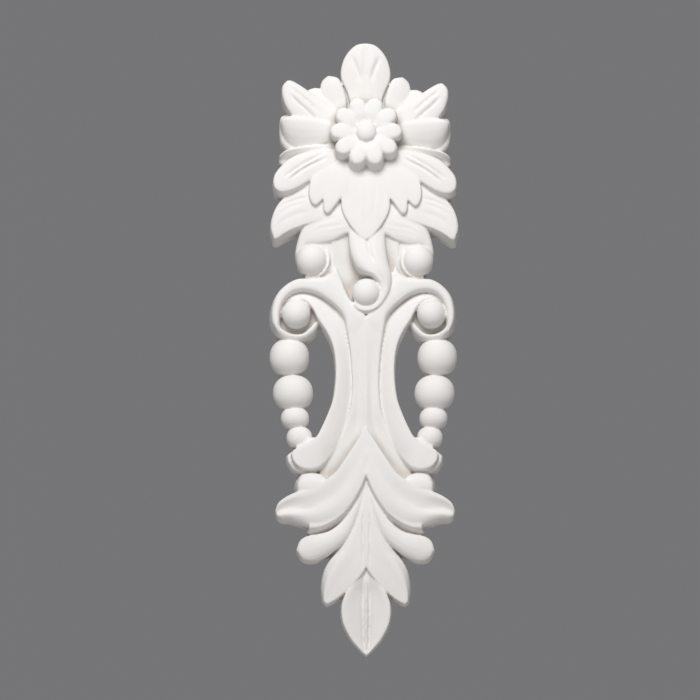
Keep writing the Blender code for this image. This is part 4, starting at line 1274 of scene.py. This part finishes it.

# %% [markdown]
# ## Cast white plaster
# Set plaster is matt and a little warm. It has no clear highlight, so its roughness stays high and
# its specular level low. The hollows are given a darker, warmer tone as painted shade, and the
# rubbed edges are cleaner and slightly smoother. The grain goes to a bump of a few hundredths of a
# millimetre: the carving itself is in the mesh.

# %% Plaster material
def add_effect(tree, group, place, values):
    """Place a node group in a material with its own values."""
    node = tree.nodes.new("ShaderNodeGroup")
    node.node_tree = group
    node.location = place
    for socket, value in values:
        node.inputs[socket].default_value = value
    return node


def make_cast_white():
    """Matt white plaster, as cast."""
    material = bpy.data.materials.new("cast_white_plaster")
    material.use_nodes = True
    tree = material.node_tree
    shader = tree.nodes["Principled BSDF"]
    shader.inputs["Specular IOR Level"].default_value = 0.25
    tone = add_effect(tree, casting_tone, (-900, 300), (
        ("Light", (0.86, 0.85, 0.835, 1)), ("Dark", (0.80, 0.785, 0.765, 1)),
        ("Cloud Size", 26.0), ("Amount", 0.7)))
    grain = add_effect(tree, plaster_grain, (-900, -250), (
        ("Grain Size", 1500.0), ("Ripple Size", 150.0), ("Ripple", 0.8), ("Pinhole Size", 420.0),
        ("Pinholes", 0.8)))
    relief = add_effect(tree, hollows_and_edges, (-900, 0), (
        ("Hollow Start", 0.49), ("Hollow Full", 0.42), ("Break Up", 90.0)))
    # Painted shade: the hollows are mixed towards this dark warm grey.
    shade_painted_tone = add_node(tree, "ShaderNodeMix", (-600, 300), (("B", (0.52, 0.48, 0.445, 1)),),
                      data_type="RGBA")
    painted_shade_share = add_node(tree, "ShaderNodeMath", (-780, 120), ((1, 0.85),), operation="MULTIPLY")
    rubbed = add_node(tree, "ShaderNodeMix", (-350, 300), (("B", (0.90, 0.895, 0.885, 1)),),
                      data_type="RGBA")
    rub_share = add_node(tree, "ShaderNodeMath", (-560, 80), ((1, 0.4),), operation="MULTIPLY")
    rough = add_node(tree, "ShaderNodeMapRange", (-350, 0), (("To Min", 0.80), ("To Max", 0.62)))
    bump = add_node(tree, "ShaderNodeBump", (-350, -250), (("Strength", 0.35), ("Distance", 0.00012)))
    link = tree.links.new
    link(tone.outputs["Color"], shade_painted_tone.inputs["A"])
    link(relief.outputs["Hollow"], painted_shade_share.inputs[0])
    link(painted_shade_share.outputs[0], shade_painted_tone.inputs["Factor"])
    link(shade_painted_tone.outputs["Result"], rubbed.inputs["A"])
    link(relief.outputs["Edge"], rub_share.inputs[0])
    link(rub_share.outputs[0], rubbed.inputs["Factor"])
    link(rubbed.outputs["Result"], shader.inputs["Base Color"])
    link(relief.outputs["Edge"], rough.inputs["Value"])
    link(rough.outputs["Result"], shader.inputs["Roughness"])
    link(grain.outputs["Height"], bump.inputs["Height"])
    link(bump.outputs["Normal"], shader.inputs["Normal"])
    return material


casting.data.materials.clear()
casting.data.materials.append(make_cast_white())
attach(casting, "root")
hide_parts("floral_applique")
print("the casting stands in for the packed solid")

# %% [markdown]
# ## A soft studio
# Relief needs light from one side of its face, or the carving goes flat. A large lamp above and in
# front lights the upward slopes and leaves the undersides darker. A weak fill from below keeps the
# walls readable. The floor is a plain pale sheet well below the drop.

# %% Floor, lights and world
FLOOR_DROP = 0.16
FLOOR_SIZE = 3.0


def make_floor():
    """A plain pale floor under the ornament."""
    mesh = bpy.data.meshes.new("studio_floor")
    work = bmesh.new()
    bmesh.ops.create_grid(work, x_segments=1, y_segments=1, size=FLOOR_SIZE)
    work.to_mesh(mesh)
    work.free()
    floor = bpy.data.objects.new("studio_floor", mesh)
    floor.location.z = cad_box[0].z - FLOOR_DROP
    bpy.context.scene.collection.objects.link(floor)
    paper = bpy.data.materials.new("pale_paper")
    paper.use_nodes = True
    shader = paper.node_tree.nodes["Principled BSDF"]
    shader.inputs["Base Color"].default_value = (0.62, 0.61, 0.60, 1)
    shader.inputs["Roughness"].default_value = 0.9
    mesh.materials.append(paper)


def soft_lamp(name, place, aim, size, power, colour):
    """A square area lamp that looks at a point."""
    light = bpy.data.lights.new(name, "AREA")
    light.size, light.energy, light.color = size, power, colour
    lamp = bpy.data.objects.new(name, light)
    lamp.location = place
    lamp.rotation_euler = (Vector(aim) - Vector(place)).to_track_quat("-Z", "Y").to_euler()
    bpy.context.scene.collection.objects.link(lamp)


make_floor()
soft_lamp("key", place=(-0.1, -0.85, 0.58), aim=(0, 0, 0.03), size=0.48, power=9.4,
          colour=(1.0, 0.99, 0.98))
soft_lamp("fill", place=(0.3, -1.2, -0.5), aim=(0, 0, 0), size=1.0, power=2.6,
          colour=(1.0, 0.96, 0.93))
world = bpy.data.worlds.new("studio_air")
world.use_nodes = True
air = world.node_tree.nodes["Background"]
air.inputs["Color"].default_value = (0.36, 0.36, 0.37, 1)
air.inputs["Strength"].default_value = 0.5
bpy.context.scene.world = world
bpy.context.scene.view_settings.view_transform = "Standard"
print("two lamps and a grey world")

# %% [markdown]
# ## The camera
# The picture was taken from a little below the middle, so the walls under the leaves show. At this
# size the camera stands 1.3 m away and looks up by 9.5 degrees.

# %% Camera
CAMERA_TILT = 9.5
CAMERA_FAR = 1.3
CAMERA_AIM_X = -0.0078
CAMERA_AIM_Z = 0.0007
SENSOR = 36.0
FRAME_SPAN = 0.343

view_angle = math.radians(CAMERA_TILT)
lens = bpy.data.cameras.new("front_camera")
lens.sensor_width = SENSOR
lens.lens = SENSOR * CAMERA_FAR / FRAME_SPAN
camera = bpy.data.objects.new("front_camera", lens)
camera.location = (CAMERA_AIM_X, -CAMERA_FAR * math.cos(view_angle),
                   CAMERA_AIM_Z - CAMERA_FAR * math.sin(view_angle))
camera.rotation_euler = (math.pi / 2 + view_angle, 0, 0)
bpy.context.scene.collection.objects.link(camera)
bpy.context.scene.camera = camera
print("lens:", round(lens.lens, 1), "mm")
